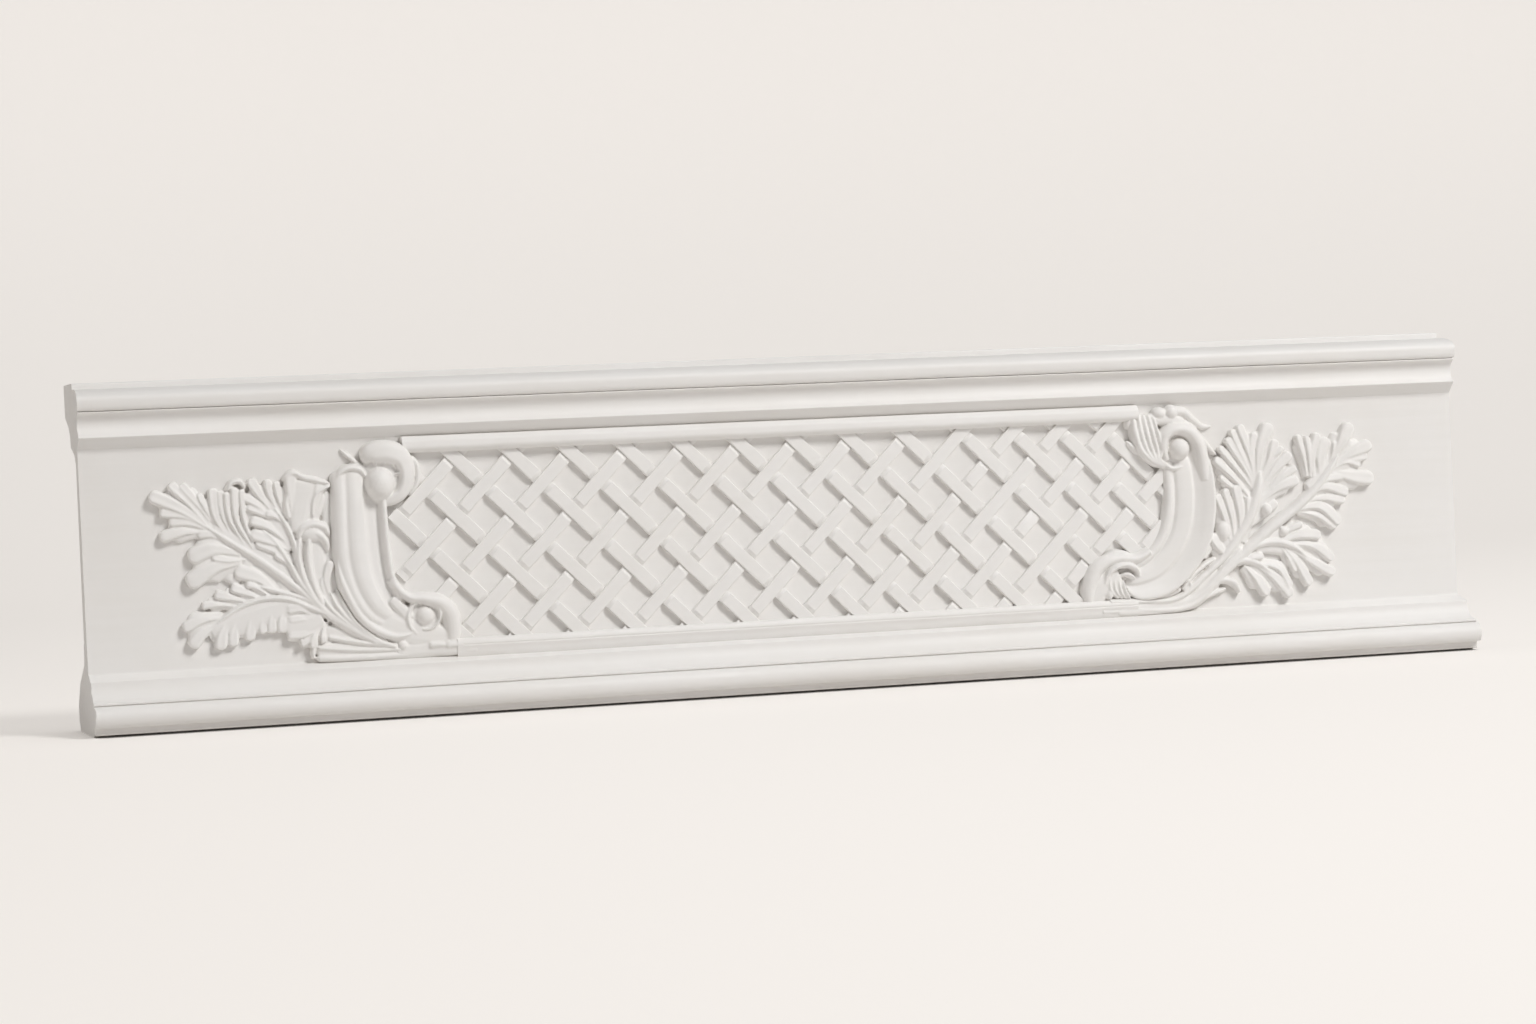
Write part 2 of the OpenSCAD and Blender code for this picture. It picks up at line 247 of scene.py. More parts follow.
def painted_plaster(look):
    """Matt white paint brushed over cast plaster: long brush marks, small pits, soft patches, with painted shade in
    creases and corners, a painted highlight on arrises and painted sheen in paler streaks.
    """
    found = bpy.data.materials.get("painted plaster")
    if found:
        return found
    finish = Finish("painted plaster")
    paint = tuple(look.paint) + (1,)
    spot = finish.node("ShaderNodeTexCoord", output="Object")
    drawn = finish.node("ShaderNodeMapping", None, {"Vector": spot, "Scale": (3.0, 60.0, 60.0)})
    # long streaks along the run: brush marks in the bump and roughness, and painted sheen as paler bands in the
    # colour
    brush_streaks_and_sheen = finish.ramp(finish.grainy(drawn, 2.4, 4.0, 0.55), (0.36, 0.0), (0.68, 1.0))
    patches = finish.ramp(finish.grainy(spot, 9.0, 3.0, 0.55), (0.35, 0.0), (0.7, 1.0))
    mottle = finish.ramp(finish.grainy(spot, 70.0, 3.0, 0.6), (0.3, 0.0), (0.72, 1.0))
    curvature = finish.node("ShaderNodeNewGeometry", output="Pointiness")
    # painted shade: creases and hollows, found by their curvature, are painted darker and warmer
    painted_crease_shade = finish.ramp(curvature, (0.42, 1.0), (0.5, 0.0))
    # painted highlight: sharp arrises, found by their curvature, are painted paler
    painted_edge_highlight = finish.ramp(curvature, (0.515, 0.0), (0.6, 1.0))
    warm = toned(paint, 0.955, 0.94, 0.915)
    pale = toned(paint, 1.03, 1.03, 1.035)
    colour = finish.mix(patches * 0.45, paint, warm)
    # painted sheen: paler streaks along the run
    colour = finish.mix(brush_streaks_and_sheen * 0.4, colour, pale)
    colour = finish.mix(mottle * 0.14, colour, warm)
    # painted shade in the creases
    colour = finish.mix(painted_crease_shade * 0.25, colour, toned(paint, 0.8, 0.775, 0.74))
    # painted highlight on the arrises
    colour = finish.mix(painted_edge_highlight * 0.55, colour, toned(paint, 1.07, 1.07, 1.07))
    # painted shade: corners and hollows that ambient occlusion finds are painted darker and warmer
    close = finish.node("ShaderNodeAmbientOcclusion", {"samples": 8}, {"Distance": 0.006}, output="AO")
    painted_occlusion_shade = finish.ramp(close, (0.1, 1.0), (0.5, 0.0))
    colour = finish.mix(painted_occlusion_shade * 0.55, colour, toned(paint, 0.66, 0.63, 0.59))
    gloss = 0.56 - brush_streaks_and_sheen * 0.12 + mottle * 0.05
    fine = finish.grainy(spot, 520.0, 2.0, 0.5)
    swells = finish.grainy(spot, 38.0, 2.0, 0.4)
    pits = finish.ramp(
        finish.node(
            "ShaderNodeTexVoronoi", {"feature": "F1"}, {"Vector": spot, "Scale": 150.0, "Randomness": 1.0}
        ),
        (0.05, 0.0),
        (0.13, 1.0),
    )
    pocked = finish.ramp(finish.grainy(spot, 26.0, 2.0, 0.5), (0.56, 0.0), (0.66, 1.0))
    height = fine * 0.12 + swells * 0.5 + brush_streaks_and_sheen * 0.28 + (1 - (1 - pits) * pocked) * 0.35
    bump = finish.node(
        "ShaderNodeBump", None, {"Strength": 0.32, "Distance": 0.0005, "Height": height}
    )
    shader = finish.node(
        "ShaderNodeBsdfPrincipled",
        None,
        {
            "Base Color": colour,
            "Roughness": gloss,
            "Normal": bump,
            "Specular IOR Level": 0.42,
        },
    )
    finish.node("ShaderNodeOutputMaterial", None, {"Surface": shader})
    return finish.material


def studio_paper(look):
    """Pale paper that keeps its colour for the camera and takes a soft shadow, with a painted contact shadow under
    the foot and painted light and shade that make it paler to the top and darker to the left.
    """
    finish = Finish("studio paper")
    floor = tuple(look.floor) + (1,)
    spot = finish.node("ShaderNodeTexCoord", output="Object")
    cloud = finish.grainy(spot, 0.5, 1.0, 0.4)
    across = finish.node("ShaderNodeSeparateXYZ", None, {"Vector": spot}, output="X")
    up = finish.node("ShaderNodeSeparateXYZ", None, {"Vector": spot}, output="Z")
    # painted shade: the paper is painted darker towards the left
    side = finish.node(
        "ShaderNodeMapRange",
        {"interpolation_type": "SMOOTHSTEP"},
        {"Value": across, "From Min": -1.7, "From Max": -0.1, "To Min": 1.0, "To Max": 0.0},
    )
    # painted light and shade: the backdrop is painted paler towards its top and darker towards the left
    rise = finish.node(
        "ShaderNodeMapRange",
        {"interpolation_type": "SMOOTHSTEP"},
        {"Value": up, "From Min": 0.15, "From Max": 1.1, "To Min": 0.0, "To Max": 1.0},
    )
    tone = finish.mix(cloud * 0.25, floor, toned(floor, 0.985, 0.98, 0.97))
    tone = finish.mix(rise * (1 - side * 0.6), tone, toned(floor, 1.1, 1.095, 1.09))
    tone = finish.mix(side, tone, toned(floor, 0.87, 0.855, 0.84))
    near = finish.node("ShaderNodeAmbientOcclusion", {"samples": 8}, {"Distance": 0.16}, output="AO")
    touch = finish.node("ShaderNodeAmbientOcclusion", {"samples": 8}, {"Distance": 0.02}, output="AO")
    camera = finish.node("ShaderNodeLightPath", output="Is Camera Ray")
    # only the camera sees the painted contact shadow, a dark line under the foot, and the paper's own glow
    painted_contact_shadow = finish.ramp(touch, (0.3, 1.0), (0.6, 0.0)) * camera
    paper = finish.mix(painted_contact_shadow, (0.885, 0.857, 0.83, 1), (0.05, 0.043, 0.037, 1))
    lit = finish.node("ShaderNodeBsdfDiffuse", None, {"Color": paper})
    shown = finish.node("ShaderNodeEmission", None, {"Color": tone, "Strength": 1.12})
    both = finish.node("ShaderNodeMixShader", None, {0: camera * near * 0.52, 1: lit, 2: shown})
    finish.node("ShaderNodeOutputMaterial", None, {"Surface": both})
    return finish.material


# ---------------------------------------------------------------- carving


def smooth(t):
    """Eases 0 to 1."""
    t = min(max(t, 0.0), 1.0)
    return t * t * (3 - 2 * t)


def along(values, t):
    """The value at t, from 0 to 1, on a smooth line through evenly spaced values."""
    last = len(values) - 1
    k = min(int(t * last), last - 1)
    u = t * last - k
    a, b, c, d = values[max(k - 1, 0)], values[k], values[k + 1], values[min(k + 2, last)]
    return (
        b
        + (c - a) * (0.5 * u)
        + (a * 2 - b * 5 + c * 4 - d) * (0.5 * u * u)
        + (b * 3 - a - c * 3 + d) * (0.5 * u**3)
    )


def heading(points, t):
    """Unit direction of a smooth line at t."""
    return (along(points, min(t + 0.02, 1.0)) - along(points, max(t - 0.02, 0.0))).normalized()


def section_of(shape, count):
    """A section as (sideways share, height share), closer set near its edges."""
    return [(-cos(pi * k / count), shape(-cos(pi * k / count))) for k in range(count + 1)]


def knotted(knots, count):
    """A section that runs smoothly through (sideways share, height share) knots."""
    points = [Vector(q) for q in knots]
    return [tuple(along(points, k / count)) for k in range(count + 1)]


ROUND = section_of(lambda s: sqrt(max(1 - s * s, 0)) ** 0.85, 10)
FLAT = [(-1, 0.8), (-0.96, 0.94), (-0.89, 0.995), (0, 1.0), (0.89, 0.995), (0.96, 0.94), (1, 0.8)]
GROUND = section_of(lambda s: (1 - s**4) ** 0.5, 8)


def hollowed(dish):
    """A thick leaf edge with a hollow down its middle."""
    return section_of(lambda s: (1 - s**4) ** 0.45 * (1 - dish * (1 - s * s) ** 1.6), 12)


class Carving:
    """A bmesh in millimetres on the field: across, up, and out from the field.

    Places are set out as they look from the camera's side, where raised work seems to stand
    further right than it does, so the shift moves a whole carving back along the run.
    """

    def __init__(self, field_y, shift):
        self.bm = bmesh.new()
        self.field_y = field_y
        self.shift = shift

    def place(self, across, up, out):
        return Vector((across + self.shift, self.field_y - out, up))

    def loft(self, stations, section):
        """A closed solid over the stations: (middle, sideways reach, height)."""
        n, m = len(stations) - 1, len(section) - 1
        back = bmesh.ops.create_grid(self.bm, x_segments=n, y_segments=m, size=1.0)["verts"]
        faces = list({f for v in back for f in v.link_faces})
        grown = bmesh.ops.extrude_face_region(self.bm, geom=faces, use_keep_orig=True)["geom"]
        front = [g for g in grown if isinstance(g, bmesh.types.BMVert)]
        for verts, raised in ((back, False), (front, True)):
            for v in verts:
                middle, reach, high = stations[round((v.co.x + 1) / 2 * n)]
                share, level = section[round((v.co.y + 1) / 2 * m)]
                spot = middle + reach * share
                v.co = self.place(spot.x, spot.y, high * level if raised else ROOTED)

    def strand(self, points, half, high, section=ROUND, steps=None, ends=(0.0, 0.0)):
        """A raised strand along a smooth line. Half widths and heights may change on the way."""
        points = [Vector(q) for q in points]
        half = [half, half] if isinstance(half, (int, float)) else list(half)
        high = [high, high] if isinstance(high, (int, float)) else list(high)
        steps = steps or 7 * (len(points) - 1)
        stations = []
        for k in range(steps + 1):
            t = k / steps
            way = heading(points, t)
            near = 1.0
            if t < ends[0]:
                near = sqrt(max(1 - (1 - t / ends[0]) ** 2, 0.0))
            if t > 1 - ends[1]:
                near = sqrt(max(1 - ((t - 1 + ends[1]) / ends[1]) ** 2, 0.0))
            reach = Vector((-way.y, way.x)) * max(along(half, t) * near, 0.05)
            stations.append((along(points, t), reach, along(high, t) * (0.55 + 0.45 * near)))
        self.loft(stations, section)

    def lobe(self, root, bend, tip, half, high=7.0, dish=0.3, neck=0.3, rise=0.66):
        """One finger of a leaf: narrow at its root, widening to a blunt round tip."""
        points = [Vector(root), Vector(bend), Vector(tip)]
        lie = (points[2] - points[1]).normalized()
        # tips that point down and to the left are drawn back a little
        points[2] += Vector((1.6, 1.6)) * max(0.0, -(lie.x + lie.y) * 0.7)
        length = (points[1] - points[0]).length + (points[2] - points[1]).length
        cap = min(0.45, 1.1 * half / length)
        # one edge stands higher than the other
        tilt = 0.13 * (lie.y - lie.x) + 0.1 * noise.noise(points[2].to_3d() * 0.37)
        shape = [(s, level * (1 + tilt * s)) for s, level in hollowed(dish)]
        steps, stations = 15, []
        for k in range(steps + 1):
            t = 1 - (1 - k / steps) ** 1.6
            way = heading(points, t)
            width = half * (neck + (1 - neck) * smooth(t / (1 - cap) / 0.95))
            level = high * (rise + (1 - rise) * smooth(t / 0.6))
            if t > 1 - cap:
                left = sqrt(max(1 - ((t - 1 + cap) / cap) ** 2, 0.0))
                width *= left
                level *= 0.72 + 0.28 * left
            stations.append((along(points, t), Vector((-way.y, way.x)) * max(width, 0.05), level))
        self.loft(stations, shape)

    def fan(self, rows):
        """Several lobes, each (root, bend, tip, half width) with a height and hollow if they differ."""
        for root, bend, tip, half, high, dish in rows:
            self.lobe(root, bend, tip, half, high, dish * 0.45)
            start, end = Vector(root), Vector(tip)
            short = end - (end - start).normalized() * half * 1.7
            self.lobe(root, bend, short, half * 1.75, high * 0.56, 0.0, neck=0.55, rise=0.9)

    def plate(self, points, half, high):
        """A low ground that strands and lobes grow from."""
        self.strand(points, half, high, GROUND, ends=(0.1, 0.12))

    def ball(self, across, up, out, size, squash=(1.0, 1.0, 1.0)):
        """A modelled bead or berry, rounder than it is deep if squashed."""
        turn = Matrix.Translation(self.place(across, up, out))
        scale = Matrix.Diagonal((size * squash[0], size * squash[1], size * squash[2], 1))
        bmesh.ops.create_icosphere(self.bm, subdivisions=3, radius=1.0, matrix=turn @ scale)


def put_in_scene(name, bm, look):
    """Makes the object of a finished bmesh, which is in millimetres."""
    bmesh.ops.transform(bm, matrix=Matrix.Scale(MM, 4), verts=bm.verts)
    bmesh.ops.recalc_face_normals(bm, faces=bm.faces)
    mesh = bpy.data.meshes.new(name)
    bm.to_mesh(mesh)
    bm.free()
    obj = bpy.data.objects.new(name, mesh)
    bpy.context.scene.collection.objects.link(obj)
    mesh.materials.append(painted_plaster(look))
    return obj


def melt(obj, grain):
    """Joins overlapping strands into one closed skin, softens it and thins it out."""
    skin = obj.modifiers.new("skin", "REMESH")
    skin.mode = "VOXEL"
    skin.voxel_size = grain
    soften = obj.modifiers.new("soften", "SMOOTH")
    soften.factor = 0.5
    soften.iterations = SOFTENED
    thin = obj.modifiers.new("thin", "DECIMATE")
    thin.ratio = KEPT_FACES
    melted = bpy.data.meshes.new_from_object(obj.evaluated_get(bpy.context.evaluated_depsgraph_get()))
    obj.modifiers.clear()
    old = obj.data
    obj.data = melted
    melted.name = obj.name
    bpy.data.meshes.remove(old)
    for polygon in melted.polygons:
        polygon.use_smooth = True


def crisp(obj, angle):
    """Smooth shading that keeps the arrises."""
    for polygon in obj.data.polygons:
        polygon.use_smooth = True
    obj.data.set_sharp_from_angle(angle=radians(angle))


def hand_over(obj):
    """The piece rides with the casting, and the imported part of the casting is hidden."""
    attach(obj, "root")
    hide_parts(NODE)


def hand_over_carving(name, cut, sizes, look):
    """Makes a scroll or a spray of its carving."""
    obj = put_in_scene(name, cut.bm, look)
    melt(obj, sizes.grain)
    hand_over(obj)


def field_of(sizes):
    """Row place of the field, in millimetres."""
    return (CAD_BOX[0].y + sizes.field) / MM


# ---------------------------------------------------------------- body


def turn_arc(out, up, wide, tall, start, end, count):
    """Points of the cross-section round an arc, as (out, up)."""
    return [
        (out + wide * cos(radians(a)), up + tall * sin(radians(a)))
        for a in (start + (end - start) * k / count for k in range(count + 1))
    ]


def body_outline(height, depth):
    """The cross-section from the foot up the front and down the back, as (out, up, rounding)."""
    outline = [(24.0, 0.0, 0.3), (25.4, 1.4, 0.3), (32.6, 1.7, 0.6), (32.8, 7.2, 0.4)]
    outline += [(o, u, 0) for o, u in turn_arc(33.6, 15.4, 8.9, 8.9, -56, 94, 18)]
    outline += [(31.6, 24.3, 0.1), (32.7, 25.2, 0.2), (32.7, 26.9, 0.4)]
    outline += [(o, u, 0) for o, u in turn_arc(32.6, 42.1, 15.3, 15.3, -95, -179, 12)]
    outline += [(17.3, 42.8, 0.5), (0.0, 47.8, 1.1), (0.0, 226.6, 0.7), (9.9, 235.4, 0.5), (9.9, 236.2, 0.2)]
    outline += [(o, u, 0) for o, u in turn_arc(15.6, 245.4, 10.9, 10.9, -128, -248, 14)]
    outline += [(11.5, 255.9, 0.35), (9.6, 256.7, 0.15)]
    outline += [(o, u, 0) for o, u in turn_arc(10.9, 265.2, 3.7, 8.4, -86, -6, 9)]
    outline += [(o, u, 0) for o, u in turn_arc(-12.5, 265.2, 27.1, 9.5, 4, 84, 13)]
    outline += [(-19.8, 274.9, 0.4), (-19.8, height, 0.9)]
    outline += [(-depth, height, 1.2), (-depth, height - 26, 1.2)]
    outline += [(-56.2, 246.1, 3.0), (-46.0, 238.1, 2.5), (-46.0, 229.6, 2.5), (-20.0, 222.6, 2.0),
                (-18.0, 216.6, 2.0)]
    outline += [(-18.0, 73.8, 2.0), (-22.5, 55.3, 2.0), (-43.7, 45.8, 2.5), (-60.1, 38.3, 3.0)]
    outline += [(-depth, 20.0, 1.2), (-depth, 8.0, 1.0), (8.0 - depth, 0.0, 1.0)]
    return outline


def rounded_face(bm, outline, spot_of):
    """One face through the outline, with its corners rounded off."""
    verts = [bm.verts.new(spot_of(q[0], q[1])) for q in outline]
    bm.faces.new(verts)
    for size in sorted({q[2] for q in outline if q[2] > 0}):
        corners = [v for v, q in zip(verts, outline) if q[2] == size and v.is_valid]
        bmesh.ops.bevel(
            bm,
            geom=corners,
            offset=size,
            offset_type="OFFSET",
            segments=3,
            profile=0.5,
            affect="VERTICES",
            material=-1,
        )


def draw_run(bm, start, end, cuts):
    """Draws the one face in the bmesh out along the run, with rings of points on the way."""
    grown = bmesh.ops.extrude_face_region(bm, geom=bm.faces[:], use_keep_orig=True)["geom"]
    far = [g for g in grown if isinstance(g, bmesh.types.BMVert)]
    bmesh.ops.translate(bm, vec=(end - start, 0, 0), verts=far)
    long_edges = [e for e in bm.edges if abs(e.verts[0].co.x - e.verts[1].co.x) > 1]
    bmesh.ops.subdivide_edges(bm, edges=long_edges, cuts=cuts, use_grid_fill=True)


def make_body(sizes, look):
    """The moulded body: outline, run, and the slight wander of a drawn profile."""
    field = field_of(sizes)
    depth = CAD_BOX[1].y / MM - field
    height, half_run = sizes.run_height / MM, sizes.run_length / MM / 2
    waver = sizes.waver / MM
    bm = bmesh.new()
    rounded_face(bm, body_outline(height, depth), lambda out, up: Vector((-half_run, field - out, up)))
    draw_run(bm, -half_run, half_run, 239)
    for v in bm.verts:
        out = field - v.co.y
        if out < -19.9 or v.co.z < 0.5:
            continue
        at_end = abs(abs(v.co.x) - half_run) < 0.1
        drawn = Vector((v.co.x * 0.006, v.co.y * 0.12, v.co.z * 0.12))
        small = Vector((v.co.x * 0.05, v.co.y * 0.2, v.co.z * 0.2))
        push = waver * (noise.noise(drawn) + 0.45 * noise.noise(small))
        v.co.y += push
        v.co.z += 0.8 * waver * noise.noise(drawn + Vector((7.3, 1.9, 4.2)))
        if at_end:
            rough = Vector((3.7, v.co.y * 0.15, v.co.z * 0.15))
            v.co.x -= (1 if v.co.x > 0 else -1) * abs(noise.noise(rough)) * 1.1
    obj = put_in_scene("cornice_body", bm, look)
    soft_ends = obj.modifiers.new("soft ends", "BEVEL")
    soft_ends.width = 0.0009
    soft_ends.segments = 2
    soft_ends.limit_method = "ANGLE"
    soft_ends.angle_limit = radians(70)
    crisp(obj, 40)
    hand_over(obj)


# ---------------------------------------------------------------- rails


def make_rails(sizes, look):
    """The rails over and under the lattice."""
    field = field_of(sizes)
    upper = [
        (-2.0, 213.0, 0), (6.4, 213.0, 0.4), (9.6, 215.2, 0.9), (10.6, 217.4, 0.9), (10.2, 222.4, 0.7),
        (6.0, 226.2, 0.9), (-2.0, 227.0, 0),
    ]
    lower = [
        (-2.0, 45.4, 0), (7.6, 45.4, 0.3), (8.9, 48.4, 1.0), (9.6, 52.0, 1.0), (10.5, 54.4, 0.5), (10.1, 55.3, 0.4),
        (10.6, 56.2, 0.6), (9.8, 59.2, 1.0), (7.2, 60.6, 0.9), (-2.0, 60.6, 0),
    ]
    for name, outline, start, end in (("upper_rail", upper, -341, 300), ("lower_rail", lower, -303, 292)):
        bm = bmesh.new()
        rounded_face(bm, outline, lambda out, up: Vector((start, field - out, up)))
        draw_run(bm, start, end, 150)
        for v in bm.verts:
            drawn = Vector((v.co.x * 0.02, v.co.y * 0.15, v.co.z * 0.15))
            fine = Vector((v.co.x * 0.13, v.co.y * 0.3, v.co.z * 0.3))
            v.co.y += 0.3 * noise.noise(drawn) + 0.12 * noise.noise(fine)
            v.co.z += 0.25 * noise.noise(drawn + Vector((5.1, 2.7, 0.4)))
        obj = put_in_scene(name, bm, look)
        crisp(obj, 40)
        hand_over(obj)


# ---------------------------------------------------------------- lattice

OPENING = [
    (-350, 176), (-347, 140), (-344, 112), (-330, 98), (-308, 90), (-301, 76), (-301, 55), (285, 55),
    (262, 76), (280, 93), (306, 100), (322, 118), (330, 150), (326, 176), (306, 192), (300, 219),
    (-330, 219), (-334, 190),
]


def inside(across, up):
    """Whether a point of the field lies in the lattice opening."""
    odd = False
    for (ax, az), (bx, bz) in zip(OPENING, OPENING[1:] + OPENING[:1]):
        if (az > up) != (bz > up) and across < ax + (up - az) * (bx - ax) / (bz - az):
            odd = not odd
    return odd


def make_lattice(sizes, look):
    """Strips that lean both ways and pass over and under each other in turn."""
    field, pitch = field_of(sizes), sizes.pitch / MM
    half = sizes.strip_width / MM / 2
    over, under = sizes.strip_over / MM, sizes.strip_under / MM
    ramp = 3.5  # length of the slope between the two heights
    cut = Carving(field, -1.4)
    # a falling strip lies where across + up is its offset, a rising one where across - up is;
    # the last few at the right end stand a little closer
    falling = {i: 9.5 + pitch * i for i in range(-9, 7)}
    falling.update({7: 352.0, 8: 397.0, 9: 438.0, 10: 478.0})
    rising = {j: -214.0 + pitch * j for j in range(-8, 5)}
    rising.update({5: 22.0, 6: 68.0, 7: 113.0, 8: 157.0, 9: 200.0})
    groups = ((falling, rising, Vector((1, -1)), 0), (rising, falling, Vector((1, 1)), 1))
    for own, crossed, way, parity in groups:
        way = way.normalized()
        side = Vector((-way.y, way.x))
        for i, offset in own.items():
            lean = 1 if parity == 0 else -1
            origin = Vector((offset / 2, lean * offset / 2))
            stray = 0.35 * noise.noise(Vector((i * 3.1, parity * 7.7, 0.5)))
            shown = [s for s in range(-520, 521) if inside(*(origin + way * s))]
            if len(shown) < 8:
                continue
            crossings = []
            for j, other in crossed.items():
                spot = Vector(((offset + other) / 2, lean * (offset - other) / 2))
                # the weave turns over where the falling strips start to stand closer
                late = (i if parity == 0 else j) >= 7
                falls_over = (i + j + (1 if late else 0)) % 2 == 0
                crossings.append(((spot - origin).dot(way), falls_over == (parity == 0)))
            crossings.sort()
            dips = [s for s, is_over in crossings if not is_over]
            marks = {min(shown) - 1.0, max(shown) + 1.0}
            for s in dips:
                marks |= {s - half - ramp, s - half - 0.3, s, s + half + 0.3, s + half + ramp}
            for s, is_over in crossings:
                if is_over:
                    marks |= {s - half * 2, s, s + half * 2}
            marks = sorted(m for m in marks if min(shown) - 1 <= m <= max(shown) + 1)
            stations = []
            for s in marks:
                sunk = max([1 - smooth((abs(s - d) - half) / ramp) for d in dips] or [0])
                jitter = Vector((i * 1.7 + parity, s * 0.05, 2.0))
                high = over - (over - under) * sunk + 0.35 * noise.noise(jitter)
                wide = half * (1 + 0.06 * noise.noise(jitter + Vector((9, 0, 0))))
                centre = origin + way * s + side * (stray + 0.3 * noise.noise(jitter + Vector((0, 0, 5))))
                stations.append((centre, side * wide, high))
            cut.loft(stations, FLAT)
    obj = put_in_scene("lattice", cut.bm, look)
    crisp(obj, 30)
    hand_over(obj)


# ---------------------------------------------------------------- left scroll


def ring(centre, radii, start, end, count):
    """Points round a centre while the radius runs from the first value to the last."""
    points = []
    for k in range(count):
        t = k / (count - 1)
        angle = radians(start + (end - start) * t)
        radius = along(radii, t)
        points.append((centre[0] + radius * cos(angle), centre[1] + radius * sin(angle)))
    return points


def make_left_scroll(sizes, look):
    """The left C-scroll: fluted band, volute, seed with its husk, and the turned tip of the rail."""
    cut = Carving(field_of(sizes), -2.2)
    band = knotted(
        [(-1, 0.3), (-0.94, 0.58), (-0.86, 0.74), (-0.75, 0.86), (-0.62, 0.88), (-0.47, 0.77), (-0.36, 0.85),
         (-0.2, 0.9), (-0.02, 0.85), (0.12, 0.77), (0.22, 0.58), (0.32, 0.5), (0.5, 0.45), (0.66, 0.4),
         (0.75, 0.7), (0.85, 0.84), (0.93, 0.8), (1, 0.5)],
        52,
    )
    cut.strand(
        [(-376, 203), (-376, 180), (-376, 152), (-375, 130), (-371, 110), (-363, 93), (-352, 82)],
        [22, 22.5, 23.5, 24, 22.5, 20, 14], [9, 13, 14, 14, 14, 13, 8], band, steps=46, ends=(0.06, 0.06),
    )
    cut.plate([(-378, 92), (-360, 78), (-340, 69), (-318, 64), (-300, 60)], [10, 14, 13, 11, 9], [8, 7.5, 7, 6, 5.5])
    cut.plate([(-352, 53), (-326, 53.5), (-306, 53), (-280, 53)], [7, 7.6, 7.2, 7.2], [6, 6.4, 8.5, 10.2])
    cut.plate([(-354, 96), (-345, 87), (-338, 78)], [5, 6, 5], [9, 8.5, 7.5])
    cut.strand(
        [(-396, 131), (-395, 120), (-392, 108), (-386, 94.5), (-378, 81), (-366, 71), (-353, 65.5), (-341, 66),
         (-334, 70)],
        [1.6, 3, 4.4, 4.8, 4.6, 4.4, 3.6, 2.6, 1.4], [10, 12, 13.5, 13, 12.5, 11.5, 10, 8.5, 6],
    )
    cut.strand(
        [(-353, 112), (-347, 103), (-338, 96), (-326, 94.5), (-313, 90.5), (-305, 81), (-303, 68), (-304, 56)],
        [4.6, 4.4, 4.4, 5.6, 7.4, 8.4, 7.5, 6], [11.5, 12, 12.5, 13, 12.5, 11, 9, 7],
    )
    cut.ball(-326, 80, 0, 16, (1, 0.46, 1))
    cut.strand(ring((-326, 81), (13, 12.8, 12.4, 12, 11.5), 205, -100, 13), [1.2, 1.9, 2.1, 1.8, 1],
               [8, 9.5, 10.5, 10, 8])
    cut.ball(-326, 81, 5, 7.6, (1, 0.9, 1))
    cut.strand([(-337, 90), (-340, 82), (-339, 73), (-333, 66)], [1.6, 2.6, 2.4, 1.2], [8, 9.5, 9, 7])
    cut.ball(-345, 57.5, 4, 4.3, (1, 1, 1))
    cut.strand([(-324, 56.5), (-317, 56.5), (-308, 56)], 3.2, 9.5, ends=(0.2, 0.05))
    cut.strand([(-311, 56), (-304, 56), (-294, 55.5)], 4.4, 10.6, ends=(0.25, 0.1))

    cut.ball(-354, 196, 0, 20, (1, 0.5, 1.2))
    husk = knotted([(-1, 0.5), (-0.85, 0.82), (-0.5, 1), (0, 0.97), (0.5, 0.9), (0.85, 0.74), (1, 0.45)], 16)
    cut.strand(
        [(-371, 207), (-365, 213.5), (-353, 215), (-342, 211), (-337, 202), (-337, 190), (-342, 180), (-352, 175.5),
         (-365, 176.5)],
        [3.5, 8.5, 9.6, 9, 7, 6, 5.4, 4.8, 2.6], [10, 14, 16, 16, 15, 14, 13, 11.5, 8.5], husk, ends=(0.1, 0.12),
    )
    cut.strand([(-331, 211), (-327, 201), (-328, 189), (-334, 178)], [2, 3.4, 3.2, 1.8], [8, 9.5, 9.5, 7],
               ends=(0.2, 0.2))
    for root, tip in (((-361, 203), (-363, 213)), ((-354, 204), (-353, 214)), ((-348, 202), (-343, 210)),
                      ((-346, 196), (-338, 199))):
        cut.strand([root, tip], [1.2, 2.2], [11, 14.5], ends=(0.2, 0.2))
    cut.ball(-359, 189, 7, 13, (0.92, 1.05, 1.06))
    cut.strand([(-394, 192), (-391, 199), (-383, 203), (-374, 201), (-369, 194)], [1.6, 3, 3.4, 3, 1.8],
               [8, 10.5, 11.5, 10.5, 9], ends=(0.15, 0.15))
    for tip, bend in (
        ((-389, 219), (-379, 209)), ((-384, 217), (-376, 208)), ((-381, 213), (-374, 206)),
        ((-381, 207), (-374, 202)),
    ):
        cut.strand([(-366, 199), bend, tip], [1.8, 1.4, 0.9], [7, 5, 3.2], ends=(0, 0.2))
    hand_over_carving("left_scroll", cut, sizes, look)


# ---------------------------------------------------------------- right scroll


